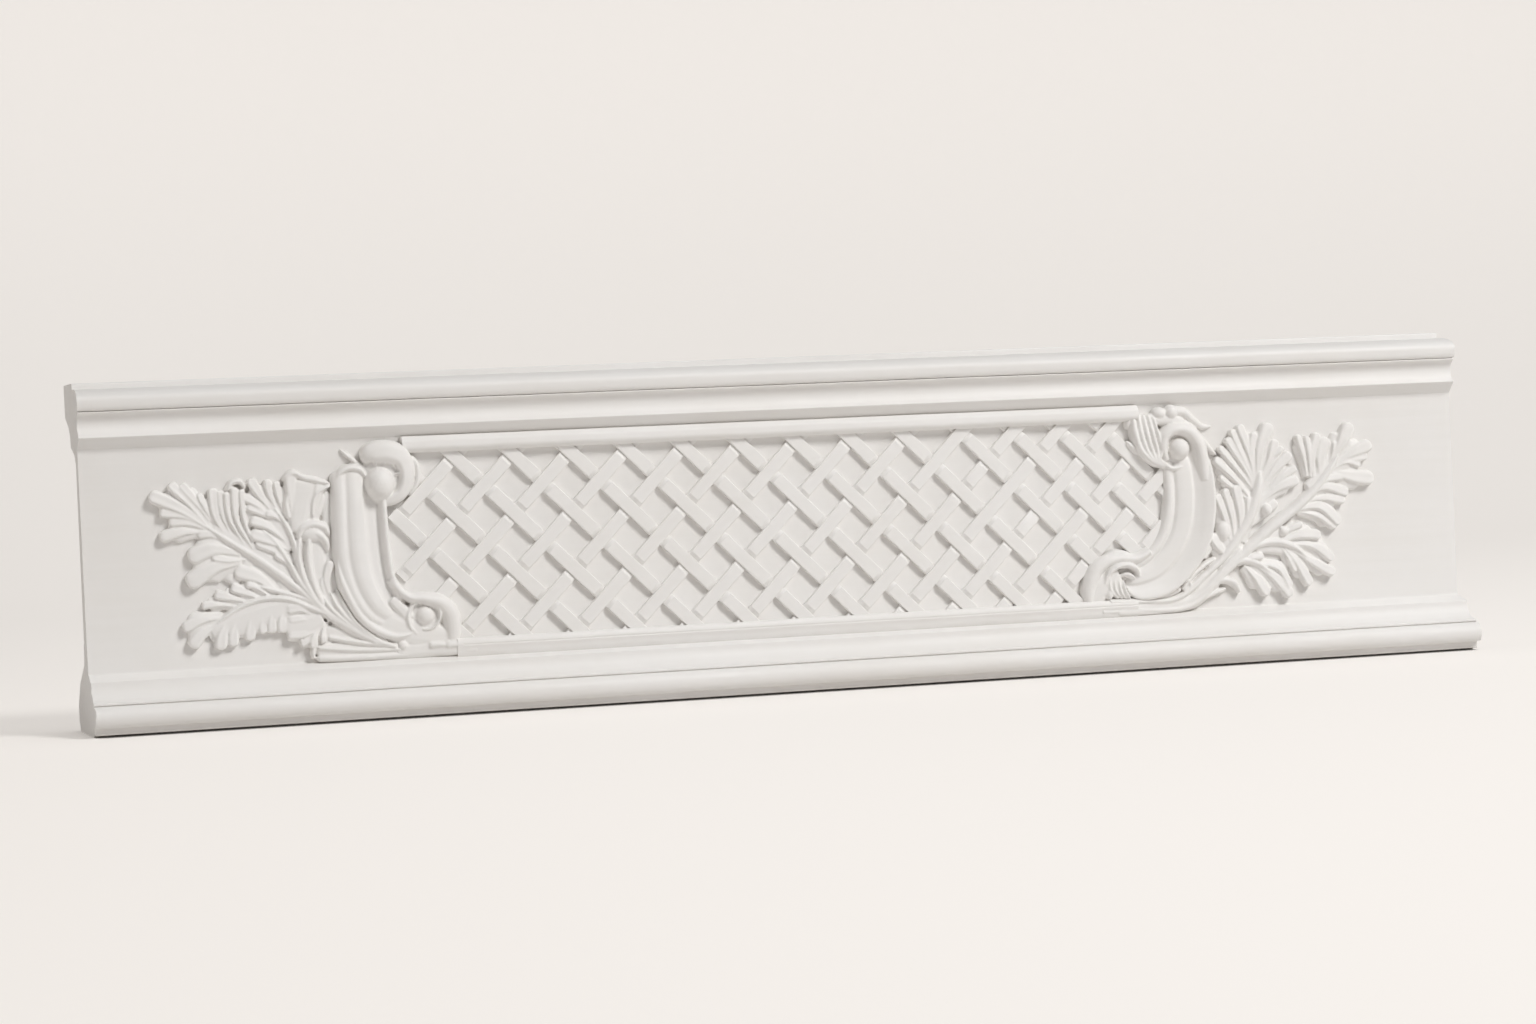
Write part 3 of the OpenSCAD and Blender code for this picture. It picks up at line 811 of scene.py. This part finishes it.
def make_right_scroll(sizes, look):
    """The right C-scroll: ribbed band, two volutes, knuckles and the acanthus leaf over the rail."""
    cut = Carving(field_of(sizes), -5)
    band = knotted(
        [(-1, 0.3), (-0.94, 0.5), (-0.85, 0.62), (-0.72, 0.62), (-0.59, 0.44), (-0.49, 0.58), (-0.32, 0.66),
         (-0.1, 0.7), (0.06, 0.7), (0.17, 0.58), (0.3, 0.64), (0.45, 0.74), (0.6, 0.86), (0.76, 0.96),
         (0.88, 1), (0.96, 0.88), (1, 0.5)],
        50,
    )
    cut.strand(
        [(347, 184), (349, 170), (350, 152), (349, 132), (344, 112), (334, 96), (320, 83), (303, 76), (288, 74)],
        [19, 22, 23, 23.5, 23.5, 22.5, 21, 18, 12], [10, 13, 14.5, 14.5, 14, 13.5, 13, 12, 8], band, steps=56,
        ends=(0.08, 0.08),
    )
    cut.ball(341, 188, 0, 17, (1, 0.5, 1.05))
    cut.strand(
        [(330, 178), (326.5, 188), (328.5, 199), (338, 204.5), (350, 202), (358.5, 192), (362, 178), (364, 160)],
        [3.5, 5.4, 6.2, 6.4, 7, 7.6, 7.8, 6.4], [11, 13.5, 15, 16, 16, 15.5, 15, 13.5],
    )
    cut.ball(341.5, 187.5, 7, 9.4, (1, 1.1, 1))
    cut.plate([(320, 213), (334, 213), (348, 210)], [5, 5.5, 5], [8, 9, 8])
    cut.plate([(298, 60), (318, 61), (340, 68)], [4, 4.5, 4], [7.5, 7.5, 7])
    cut.plate([(276, 50.5), (300, 50), (322, 50), (346, 51.5)], [5, 5, 4.6, 3.6], [10.2, 9.4, 8, 6.5])
    cut.plate([(360, 92), (368, 104), (374, 112)], [5, 6, 5], 5)
    cut.strand(ring((341, 187), (5.5, 3.6, 1.4), 90, -330, 12), [1.4, 1.5, 1.2], [13.6, 14.4, 15])
    cut.strand([(327, 176), (334, 171), (344, 172)], [2, 3, 2], [9, 10.5, 9])
    cut.ball(325, 219, 4.5, 6, (1.15, 1.1, 0.9))
    cut.ball(336, 219.5, 5, 6.6, (0.95, 1.1, 0.98))
    cut.strand([(316, 219), (320, 214), (327, 213)], [2, 3.4, 2], [7, 9, 8], ends=(0.2, 0.2))
    cut.strand([(338, 220), (348, 219), (357, 212), (366, 206), (376, 206)], [5.4, 4.8, 3.8, 3, 1.2],
               [10, 9, 7, 5, 2.5], ends=(0.1, 0.2))
    cut.strand([(345, 212), (356, 205), (364, 196), (372, 186), (378, 181)], [3, 3, 3, 2.6, 1.4], [8, 8.5, 8, 7, 4])
    leaf = ((300, 3.2), (304.5, 2.8), (309, 2.8), (313.5, 2.6), (317.5, 2.4))
    for k, (start, half) in enumerate(leaf):
        t = k / 4
        cut.strand(
            [(start + 1, 221 - 3 * t), (start + 1.5 + 2 * t, 204), (start + 6 + 1 * t, 188),
             (317 + 6 * t, 177 + 2 * t), (329 + 2 * t, 172.5 + 2 * t)],
            [half * 0.8, half * 1.15, half * 1.1, half, half * 0.6], [8, 11 + 0.5 * k, 12.5, 12, 9],
            ends=(0.08, 0.06),
        )
    cut.plate([(306, 219), (309, 200), (316, 184), (328, 175)], [8, 10, 9, 5], [7, 9, 9.5, 8])
    cut.strand([(302, 222), (297, 214), (296, 206)], [2.4, 3, 1.5], [7, 8, 5], ends=(0.2, 0.3))
    cut.strand([(294, 196), (300, 190), (304, 184)], [2.2, 3.4, 2], [7, 8, 7], ends=(0.25, 0.2))

    cut.strand(
        [(254, 56), (254, 70), (259, 84), (269, 93), (283, 96), (297, 95), (310, 101)],
        [5, 7, 7.4, 6.6, 5.6, 5, 4.2], [8, 10, 11.5, 12, 12.5, 13, 13],
    )
    cut.strand([(268, 98), (280, 101.5), (293, 100)], [1.2, 2.6, 1.2], [7, 9, 8], ends=(0.2, 0.2))
    cut.strand([(300, 79), (297, 86), (289, 90), (279, 89), (271, 83), (268, 75)], [2.2, 3.2, 3.6, 3.4, 3, 2],
               [11, 13, 14, 13.5, 12, 9], ends=(0.2, 0))
    cut.strand([(296, 78), (289, 82), (282, 81)], [1.8, 2.6, 1.6], [11, 12, 9], ends=(0.2, 0.2))
    for k in range(4):
        cut.strand(
            [(273 + 4 * k, 80 - k), (272.5 + 4.6 * k, 70 - k), (280 + 3.8 * k, 61.5 - 0.4 * k)],
            [1.2, 2.2, 1.6], [9, 10.5 + 0.3 * k, 8],
        )
    cut.ball(272, 66, 5, 4.6, (0.8, 1.1, 1.25))
    cut.plate([(256, 58), (268, 72), (284, 80)], [6, 12, 14], [7, 8.5, 9])
    cut.strand([(254, 56), (262, 57), (272, 58)], [3.5, 3.6, 2.6], [7, 8, 8], ends=(0.2, 0.2))
    hand_over_carving("right_scroll", cut, sizes, look)


# ---------------------------------------------------------------- leaf sprays


def make_left_spray(sizes, look):
    """The left spray: stems that leave the foot of the scroll, and three clusters of lobed leaves."""
    cut = Carving(field_of(sizes), -1.1)
    stems = (
        ([(-352, 57), (-372, 64), (-392, 76), (-410, 90), (-424, 103), (-440, 117), (-460, 133), (-482, 148),
          (-503, 163)],
         [2.4, 3.4, 4, 4.2, 3.6, 3.4, 3.2, 2.8, 2.2], [8, 8.5, 8.5, 8, 8, 7.5, 7.5, 7, 6.5]),
        ([(-400, 80), (-414, 95), (-427, 112), (-436, 130), (-446, 146), (-457, 158)], [3, 3, 2.8, 2.6, 2.2, 1.6],
         [8, 8.5, 8.5, 8, 7.5, 7]),
        ([(-404, 84), (-417, 100), (-427, 122), (-431, 145), (-438, 162), (-446, 174)], [3, 3, 2.6, 2.4, 2.2, 1.6],
         [8, 8.5, 8.5, 8, 7.5, 7]),
        ([(-404, 82), (-422, 98), (-444, 106), (-462, 112)], [2.6, 2.4, 2.2, 1.6], [8, 7.5, 7, 6.5]),
        ([(-402, 84), (-420, 92), (-438, 100), (-458, 101), (-478, 95), (-497, 83)], [3, 3, 2.8, 2.4, 2.2, 1.6],
         [8, 8.5, 8.5, 8, 7.5, 7]),
        ([(-362, 60), (-383, 77), (-393, 93), (-398, 106)], [2, 2.8, 2.8, 1.4], [8, 9.5, 9, 6.5]),
        ([(-365, 60), (-388, 79), (-399, 93), (-404, 105)], [2, 2.6, 2.6, 1.4], [8, 9, 9, 6.5]),
        ([(-368, 60), (-392, 79), (-404, 91), (-410, 102)], [2, 2.6, 2.6, 1.4], [8, 8.6, 8.6, 6.5]),
        ([(-342, 50), (-380, 49.8), (-418, 51)], [3.4, 3.6, 3.8], [6, 6.4, 6.4]),
        ([(-348, 54.5), (-384, 56), (-417, 59.5)], [2.2, 2.6, 2.6], [6.5, 7, 7]),
        ([(-352, 57), (-384, 62.5), (-408, 68)], [2.2, 2.6, 2.2], [7, 7.5, 6.5]),
        ([(-419, 51), (-419.5, 56), (-417, 63)], [1.6, 2.2, 1.6], [7, 7.4, 6.5]),
    )
    for points, half, high in stems:
        cut.strand(points, half, high, ends=(0, 0.12))
    grounds = (
        ([(-345, 56), (-380, 57), (-418, 57)], [5, 6.4, 6.8], 5),
        ([(-352, 58), (-380, 66), (-410, 73)], [2, 5, 6], 4.5),
        ([(-358, 60), (-380, 75), (-395, 90), (-404, 102)], [3, 6, 7.5, 6.5], 6.5),
        ([(-408, 92), (-415, 120), (-415, 152)], [6, 11, 11], 5.5),
        ([(-398, 100), (-402, 130), (-402, 160), (-402, 186)], [4, 5, 5, 4], 3.4),
        ([(-427, 152), (-425, 172), (-419, 195)], [6, 12, 17], 7.6),
        ([(-410, 84), (-425, 78), (-441, 76)], [6, 12, 10], 6.8),
        ([(-416, 50.5), (-360, 50), (-300, 50)], [3.6, 4.4, 4.4], [5, 5, 6]),
        ([(-418, 95), (-448, 91), (-475, 84), (-502, 76)], [5, 12, 13, 8], [6.8, 6.4, 6.2, 5.4]),
        ([(-418, 98), (-445, 125), (-470, 143), (-497, 161)], [5, 9, 8, 6], 5),
        ([(-434, 138), (-445, 165), (-455, 182)], [4, 10, 9], 5),
        ([(-468, 143), (-481, 168), (-483, 184)], [5, 9, 9], 4.5),
    )
    for points, half, high in grounds:
        cut.plate(points, half, high)
    cut.fan((
        # end of the main stem
        ((-497, 159), (-519, 176), (-545, 188), 6, 8, 0.45),
        ((-500, 164), (-514, 182), (-528, 197), 4.4, 7.5, 0.4),
        ((-497, 166), (-508, 182), (-519, 196), 4, 7, 0.4),
        ((-495, 166), (-501, 178), (-505, 188), 3.2, 6.5, 0.3),
        ((-499, 161), (-518, 171), (-538, 173), 4.2, 7, 0.3),
        ((-497, 158), (-514, 165), (-531, 165), 3.8, 6.5, 0.3),
        ((-506, 157), (-521, 158), (-539, 152.5), 5.2, 7.5, 0.2),
        ((-488, 150), (-498, 155), (-509, 154), 3.6, 6.5, 0.3),
        # broad lobes under the main stem
        ((-474, 138), (-496, 143), (-517, 135), 7.2, 8, 0.35),
        ((-470, 134), (-484, 134), (-498, 136), 3.4, 7.5, 0.3),
        ((-474, 131), (-497, 128), (-519, 114), 7.8, 8.5, 0.25),
        # fingers over the main stem
        ((-478, 146), (-492, 168), (-494, 192), 4.2, 7, 0.4),
        ((-476, 146), (-486, 168), (-488, 190), 3.4, 6.5, 0.3),
        ((-468, 142), (-481, 166), (-483, 188), 3.2, 7.5, 0.1),
        ((-464, 142), (-476, 166), (-477, 192), 3.6, 8.5, 0.1),
        ((-462, 142), (-470, 166), (-471, 190), 3, 8, 0.1),
        # middle leaf
        ((-444, 168), (-456, 184), (-464, 198), 4.6, 8, 0.4),
        ((-440, 168), (-448, 184), (-450, 197), 3.6, 7.5, 0.35),
        ((-437, 166), (-441, 182), (-443, 195), 3.4, 7.5, 0.3),
        ((-446, 166), (-458, 177), (-470, 184), 4.2, 7.5, 0.3),
        ((-442, 162), (-454, 170), (-468, 176), 4.2, 7.5, 0.3),
        ((-438, 160), (-446, 168), (-454, 168), 3, 8.5, 0.2),
        ((-436, 146), (-452, 160), (-466, 164), 4.6, 8.5, 0.3),
        ((-435, 140), (-450, 148), (-466, 154), 5.6, 8.5, 0.35),
        ((-433, 130), (-446, 140), (-462, 147), 4.6, 7.5, 0.35),
        ((-432, 124), (-440, 133), (-446, 138), 4.2, 8, 0.35),
        # leaves on the low side
        ((-446, 107), (-462, 119), (-480, 124), 6.6, 7.5, 0.3),
        ((-452, 103), (-464, 112), (-472, 113), 3.4, 8, 0.2),
        ((-458, 101), (-472, 108), (-484, 111), 4.6, 7.5, 0.35),
        ((-468, 99), (-484, 104), (-497, 106), 4.2, 7, 0.35),
        ((-478, 96), (-494, 99), (-508, 97), 3.4, 6.5, 0.3),
        ((-490, 88), (-508, 87), (-524, 79), 4.6, 7.5, 0.3),
        ((-494, 84), (-508, 76), (-518, 64), 5.8, 8, 0.35),
        ((-482, 90), (-491, 76), (-495, 61), 5.4, 8, 0.35),
        ((-472, 92), (-482, 78), (-484, 63), 4.8, 7.5, 0.3),
        ((-462, 96), (-468, 82), (-471, 67), 5, 7.5, 0.35),
        ((-452, 98), (-458, 86), (-460, 72), 3.8, 7, 0.3),
        ((-446, 98), (-451, 86), (-453, 72), 4.2, 7.5, 0.3),
        ((-436, 96), (-443, 84), (-444, 72), 4.6, 8, 0.35),
        ((-414, 84), (-428, 92), (-441, 90), 4.6, 9, 0.35),
        ((-414, 82), (-426, 84), (-440, 82), 3.6, 8, 0.3),
        ((-412, 78), (-424, 72), (-441, 70), 4.2, 8.5, 0.3),
        ((-412, 76), (-424, 66), (-431, 62), 3.6, 8.5, 0.3),
        ((-412, 78), (-418, 68), (-420, 58), 4, 9, 0.3),
        ((-408, 80), (-411, 70), (-411, 62), 3, 8, 0.2),
        # small leaf beside the scroll
        ((-402, 96), (-406, 114), (-401, 129), 4.2, 8, 0.3),
        ((-404, 98), (-409, 108), (-408, 116), 3, 7, 0.3),
        # turned-over leaf at the top
        ((-430, 160), (-431, 180), (-431, 202), 6, 9, 0.2),
        ((-414, 162), (-411, 178), (-408, 192), 4.6, 8.6, 0.2),
    ))
    folds = (
        ([(-483, 189), (-479, 195), (-472, 196), (-468, 190)], [1.6, 2.6, 2.6, 1.6], [7.5, 8.5, 8.5, 7.5]),
        ([(-438, 195), (-430, 201), (-421, 197), (-410, 194), (-399, 191)], [2, 3.2, 3, 3.2, 1.6],
         [8, 9.5, 9, 9.5, 8]),
        ([(-399, 190), (-409, 185), (-414, 176), (-415, 165)], [1.6, 2.8, 2.8, 1.6], [8.5, 9, 9, 7]),
        ([(-433, 188), (-436, 176), (-434, 164)], [2, 3, 2], [8, 9, 8]),
        ([(-412, 92), (-423, 112), (-428, 132), (-426, 150)], [3, 3.4, 3.6, 2.4], [8, 9, 9.5, 9]),
        ([(-409, 92), (-417, 112), (-420, 132), (-419, 150)], [3, 3.6, 3.8, 3], [8, 9.5, 10, 9.5]),
        ([(-428, 148), (-424, 156), (-415, 159), (-406, 156), (-402, 149)], [2, 3.6, 4.2, 3.8, 1.8],
         [9, 10.5, 11, 10.5, 8]),
        ([(-416, 153), (-410, 150), (-405, 144), (-404, 136)], [2.4, 4, 3.4, 1.6], [10, 10.5, 9, 6.5]),
    )
    for points, half, high in folds:
        cut.strand(points, half, high, ends=(0.12, 0.15))
    cut.ball(-416, 152, 4, 10, (1.15, 0.62, 0.75))
    for start, end in (
        ((-485, 191), (-468, 185)), ((-469, 176), (-461, 164)), ((-474, 138), (-466, 126)),
        ((-486, 122), (-476, 114)),
        ((-444, 116), (-436, 104)), ((-414, 70), (-406, 60)), ((-434, 158), (-426, 146)),
    ):
        cut.plate([start, end], [4.6, 4.6], [4, 4])
    hand_over_carving("left_spray", cut, sizes, look)


def make_right_spray(sizes, look):
    """The right spray: stems that leave the foot of the scroll, leaves, berries and drooping lobes."""
    cut = Carving(field_of(sizes), -3.1)
    stems = (
        ([(262, 51), (300, 50.2), (334, 49.8), (353, 56), (368, 69), (384, 83), (402, 98), (422, 114), (446, 130),
          (466, 146), (482, 164), (492, 178)],
         [3.8, 4, 3.8, 3.6, 3.8, 4.2, 4.8, 5.2, 4.8, 4.2, 3.4, 2.4],
         [10.4, 9.6, 8.5, 8, 8.5, 8.5, 8.5, 9, 9, 8.5, 8, 7.5]),
        ([(270, 59), (300, 58), (328, 58), (346, 66), (362, 79), (378, 92), (392, 108), (404, 126), (412, 146),
          (416, 166)],
         [3, 3.4, 3.4, 3.2, 3.4, 4.2, 5.2, 5.8, 5.2, 3.2], [10.4, 10.2, 9.6, 9, 8.5, 8.5, 8.5, 9, 9, 8]),
        ([(340, 52), (358, 64), (376, 80), (396, 100)], [3, 3.4, 3.6, 3], [7, 8, 8.5, 8]),
        ([(372, 74), (388, 88), (408, 100), (428, 103), (446, 97), (458, 86)], [2.6, 3.2, 3.4, 3.4, 3, 2],
         [8, 8.5, 8.5, 8.5, 8, 7.5]),
        ([(366, 68), (378, 80), (394, 88), (410, 85), (424, 74)], [2.6, 3.2, 3.4, 3.2, 2], [8, 8.5, 8.5, 8, 7.5]),
        ([(348, 54), (362, 66), (374, 72), (386, 70), (393, 60)], [2.4, 3, 3.6, 3.8, 1.6], [7, 8, 8.5, 8.5, 6.5]),
        ([(350, 53), (366, 61), (380, 65)], [2, 2.8, 1.8], [6.5, 7.5, 6.5]),
        ([(338, 66), (348, 78), (359, 86), (371, 92)], [2.4, 3.2, 3, 1.4], [8.5, 9.5, 8.5, 6]),
        ([(340, 64), (352, 73), (362, 80), (371, 84)], [2.2, 2.8, 2.6, 1.2], [8.5, 9, 8, 5.5]),
        ([(333, 66), (336, 73), (343, 74), (345, 68), (339, 64)], [1.6, 2, 2, 1.8, 1.6], [9, 9.5, 9.5, 9, 8.5]),
    )
    for points, half, high in stems:
        cut.strand(points, half, high, ends=(0, 0.1))
    grounds = (
        ([(270, 52.5), (292, 52.5), (320, 52), (346, 55), (362, 66), (376, 80)], [6, 6, 6.5, 7, 8, 7],
         [9.5, 9.2, 8, 7, 6.5, 6.5]),
        ([(386, 88), (386, 118), (386, 144)], [6, 13, 13], 5.5),
        ([(412, 148), (408, 170), (402, 188)], [6, 13, 12], 5),
        ([(414, 146), (426, 166), (434, 178)], [5, 8, 7], 5),
        ([(460, 146), (484, 163), (502, 170)], [6, 9, 7], 5),
        ([(474, 158), (475, 184)], [5, 7], 5),
        ([(408, 98), (436, 96), (452, 84)], [4, 6, 6], 4.5),
        ([(402, 118), (416, 128), (432, 138)], [4, 6, 5], 5),
        ([(406, 126), (415, 138), (426, 148)], [4, 6, 4], 5.5),
        ([(412, 104), (432, 110), (448, 114)], [3, 5, 4], 4.5),
    )
    for points, half, high in grounds:
        cut.plate(points, half, high)
    cut.fan((
        # end of the main stem
        ((486, 172), (495, 187), (504, 203), 6.8, 8.5, 0.35),
        ((486, 168), (506, 178), (523, 184), 6, 8, 0.35),
        ((486, 166), (504, 172), (519, 174), 4.4, 7, 0.3),
        ((478, 160), (498, 170), (512, 166), 3.6, 7, 0.2),
        ((484, 162), (501, 157), (524, 154), 7.2, 8.5, 0.35),
        ((462, 145), (478, 155), (495, 157), 3.8, 7.5, 0.3),
        ((456, 138), (476, 149), (499, 142), 4.8, 8, 0.3),
        ((462, 138), (478, 139), (496, 136), 4.2, 7.5, 0.3),
        ((450, 130), (472, 132), (490, 116), 5.8, 8.5, 0.3),
        ((452, 128), (470, 124), (486, 113), 4.2, 7.5, 0.3),
        ((474, 158), (474, 174), (480, 192), 6.6, 7.5, 0.3),
        ((468, 154), (466, 174), (472, 196), 4.4, 7.5, 0.3),
        ((482, 168), (487, 178), (489, 188), 3.4, 6.5, 0.2),
        ((461, 158), (458, 176), (453, 195), 3.6, 7, 0.1),
        ((464, 158), (463, 176), (461, 194), 3.4, 8, 0.1),
        # second stem
        ((414, 158), (417, 184), (427, 206), 6.8, 8.5, 0.3),
        ((414, 156), (426, 174), (432, 192), 5, 7.5, 0.3),
        ((412, 160), (409, 182), (412, 199), 3.8, 7.5, 0.25),
        ((412, 158), (406, 184), (398, 206), 4.8, 8, 0.35),
        ((411, 158), (401, 178), (391, 202), 3.6, 7.5, 0.3),
        ((410, 154), (399, 174), (386, 195), 4.2, 8, 0.35),
        ((409, 150), (395, 168), (379, 188), 3.6, 7.5, 0.3),
        ((408, 140), (392, 160), (374, 178), 4.4, 8, 0.25),
        ((406, 140), (390, 152), (378, 162), 3, 7, 0.2),
        ((414, 146), (430, 166), (446, 179), 5.2, 8, 0.35),
        ((416, 142), (434, 158), (450, 167), 4.4, 8, 0.3),
        ((416, 138), (434, 151), (452, 156), 5.4, 8.5, 0.3),
        ((424, 172), (433, 180), (438, 185), 2.8, 8, 0.1),
        # leaf between the stem and the scroll
        ((388, 96), (382, 124), (374, 147), 4.2, 8.5, 0.3),
        ((390, 98), (388, 126), (382, 151), 4.2, 8.5, 0.3),
        ((393, 100), (396, 128), (392, 154), 5.2, 8.5, 0.3),
        ((397, 104), (403, 124), (405, 143), 4.8, 8, 0.25),
        ((386, 90), (376, 100), (367, 113), 5.4, 8, 0.25),
        # drooping leaves on the low side
        ((432, 103), (452, 108), (471, 107), 5, 8.5, 0.25),
        ((430, 108), (444, 114), (454, 118), 3.4, 6.5, 0.2),
        ((440, 101), (464, 98), (482, 85), 5.2, 8, 0.3),
        ((440, 98), (462, 84), (483, 73), 5, 8.5, 0.3),
        ((436, 99), (448, 84), (459, 63), 5.4, 8.5, 0.35),
        ((434, 98), (440, 88), (446, 76), 3.6, 7.5, 0.2),
        ((408, 86), (430, 80), (440, 62), 4.4, 8, 0.3),
        ((404, 86), (424, 74), (441, 55), 5.6, 8.5, 0.35),
        ((398, 84), (409, 72), (419, 57), 5.6, 8.5, 0.35),
        ((392, 86), (404, 91), (416, 91), 3.4, 8.5, 0.2),
    ))
    cut.ball(420, 131, 7, 4.6, (1, 1, 1.15))
    cut.ball(379, 115, 4, 6.6, (0.95, 0.95, 1.35))
    cut.ball(436, 112, 4, 4.4)
    hand_over_carving("right_spray", cut, sizes, look)


# ---------------------------------------------------------------- stage


def camera_turn(look):
    """Looks along +Y, turned to the right, dipped and rolled."""
    return (
        Matrix.Rotation(-look.yaw, 4, "Z")
        @ Matrix.Rotation(pi / 2 - look.pitch, 4, "X")
        @ Matrix.Rotation(look.roll, 4, "Z")
    )


def disk_lamp(name, power, size, colour, place, aim):
    """A round area lamp that faces a point."""
    light = bpy.data.lights.new(name, "AREA")
    light.shape = "DISK"
    light.size = size
    light.energy = power
    light.color = colour
    lamp = bpy.data.objects.new(name, light)
    lamp.location = place
    lamp.rotation_euler = (Vector(place) - Vector(aim)).to_track_quat("Z", "Y").to_euler()
    bpy.context.scene.collection.objects.link(lamp)


def make_stage(look):
    """Paper sweep, camera, two lamps and the pale surround."""
    scene = bpy.context.scene
    scene.view_settings.view_transform = "Standard"

    half_width, front, back, bend, top = 9.0, -7.0, 3.0, 1.5, 6.0
    turns = [k / 12 * pi / 2 for k in range(13)]
    outline = [(front, 0.0)] + [(back + bend * sin(a), bend - bend * cos(a)) for a in turns] + [(back + bend, top)]
    bm = bmesh.new()
    edge = [bm.verts.new((-half_width, y, z)) for y, z in outline]
    lines = [bm.edges.new(pair) for pair in zip(edge, edge[1:])]
    drawn = bmesh.ops.extrude_edge_only(bm, edges=lines)["geom"]
    far = [g for g in drawn if isinstance(g, bmesh.types.BMVert)]
    bmesh.ops.translate(bm, vec=(2 * half_width, 0, 0), verts=far)
    bmesh.ops.recalc_face_normals(bm, faces=bm.faces)
    mesh = bpy.data.meshes.new("paper_sweep")
    bm.to_mesh(mesh)
    bm.free()
    mesh.materials.append(studio_paper(look))
    for polygon in mesh.polygons:
        polygon.use_smooth = True
    sweep = bpy.data.objects.new("paper_sweep", mesh)
    scene.collection.objects.link(sweep)

    eye = bpy.data.cameras.new("camera")
    eye.lens = look.lens
    eye.sensor_width = 36.0
    camera = bpy.data.objects.new("camera", eye)
    camera.matrix_world = Matrix.Translation(look.eye) @ camera_turn(look)
    scene.collection.objects.link(camera)
    scene.camera = camera

    disk_lamp("key", look.key_power, look.key_size, (1.0, 0.99, 0.98), look.key_place, (0.1, 0.0, 0.14))
    disk_lamp("side", look.key_power * 0.03, 1.4, (1.0, 0.93, 0.86), (-2.7, -0.4, 0.7), (-0.6, 0.0, 0.15))

    world = bpy.data.worlds.new("surround")
    world.use_nodes = True
    nodes, links = world.node_tree.nodes, world.node_tree.links
    back = nodes["Background"]
    place = nodes.new("ShaderNodeTexCoord")
    split = nodes.new("ShaderNodeSeparateXYZ")
    overhead = nodes.new("ShaderNodeMapRange")
    overhead.interpolation_type = "SMOOTHSTEP"
    for name, value in (("From Min", 0.1), ("From Max", 0.9), ("To Min", 0.0), ("To Max", 1.0)):
        overhead.inputs[name].default_value = value
    sky = nodes.new("ShaderNodeMix")
    sky.data_type = "RGBA"
    low, high = look.fill_power, look.fill_power * 3.4
    sky.inputs[6].default_value = (low, low * 0.985, low * 0.965, 1)
    sky.inputs[7].default_value = (high, high * 0.995, high * 0.985, 1)
    links.new(place.outputs["Generated"], split.inputs[0])
    links.new(split.outputs["Z"], overhead.inputs["Value"])
    links.new(overhead.outputs[0], sky.inputs[0])
    links.new(sky.outputs[2], back.inputs["Color"])
    scene.world = world


# ---------------------------------------------------------------- operators and panel


class CorniceOperator:
    """What the operators share."""

    bl_options = {"REGISTER", "UNDO"}

    @property
    def sizes(self):
        return bpy.context.scene.cornice_sizes

    @property
    def look(self):
        return bpy.context.scene.cornice_look


class CORNICE_OT_body(CorniceOperator, bpy.types.Operator):
    """Adds the moulded body"""

    bl_idname = "cornice.body"
    bl_label = "Body"

    def execute(self, context):
        make_body(self.sizes, self.look)
        return {"FINISHED"}


class CORNICE_OT_rails(CorniceOperator, bpy.types.Operator):
    """Adds the rails over and under the lattice"""

    bl_idname = "cornice.rails"
    bl_label = "Rails"

    def execute(self, context):
        make_rails(self.sizes, self.look)
        return {"FINISHED"}


class CORNICE_OT_lattice(CorniceOperator, bpy.types.Operator):
    """Adds the woven lattice"""

    bl_idname = "cornice.lattice"
    bl_label = "Lattice"

    def execute(self, context):
        make_lattice(self.sizes, self.look)
        return {"FINISHED"}


class CORNICE_OT_scrolls(CorniceOperator, bpy.types.Operator):
    """Adds the two C-scrolls"""

    bl_idname = "cornice.scrolls"
    bl_label = "Scrolls"

    def execute(self, context):
        make_left_scroll(self.sizes, self.look)
        make_right_scroll(self.sizes, self.look)
        return {"FINISHED"}


class CORNICE_OT_sprays(CorniceOperator, bpy.types.Operator):
    """Adds the leaf sprays outside the scrolls"""

    bl_idname = "cornice.sprays"
    bl_label = "Leaf sprays"

    def execute(self, context):
        make_left_spray(self.sizes, self.look)
        make_right_spray(self.sizes, self.look)
        return {"FINISHED"}


class CORNICE_OT_stage(CorniceOperator, bpy.types.Operator):
    """Adds the paper sweep, the camera and the lamps"""

    bl_idname = "cornice.stage"
    bl_label = "Stage"

    def execute(self, context):
        make_stage(self.look)
        return {"FINISHED"}


OPERATORS = (
    CORNICE_OT_body,
    CORNICE_OT_rails,
    CORNICE_OT_lattice,
    CORNICE_OT_scrolls,
    CORNICE_OT_sprays,
    CORNICE_OT_stage,
)


class CORNICE_PT_panel(bpy.types.Panel):
    """Sidebar panel of the cornice"""

    bl_label = "Cornice"
    bl_idname = "CORNICE_PT_panel"
    bl_space_type = "VIEW_3D"
    bl_region_type = "UI"
    bl_category = "Cornice"

    def draw(self, context):
        for operator in OPERATORS:
            self.layout.operator(operator.bl_idname)
        for group in (context.scene.cornice_sizes, context.scene.cornice_look):
            box = self.layout.box()
            for name in group.__annotations__:
                box.prop(group, name)


CLASSES = (CorniceSizes, CorniceLook) + OPERATORS + (CORNICE_PT_panel,)


def register():
    for cls in CLASSES:
        bpy.utils.register_class(cls)
    bpy.types.Scene.cornice_sizes = bpy.props.PointerProperty(type=CorniceSizes)
    bpy.types.Scene.cornice_look = bpy.props.PointerProperty(type=CorniceLook)


def unregister():
    del bpy.types.Scene.cornice_look
    del bpy.types.Scene.cornice_sizes
    for cls in reversed(CLASSES):
        bpy.utils.unregister_class(cls)


def main():
    register()
    for operator in OPERATORS:
        group, name = operator.bl_idname.split(".")
        getattr(getattr(bpy.ops, group), name)()


if __name__ == "__main__":
    main()
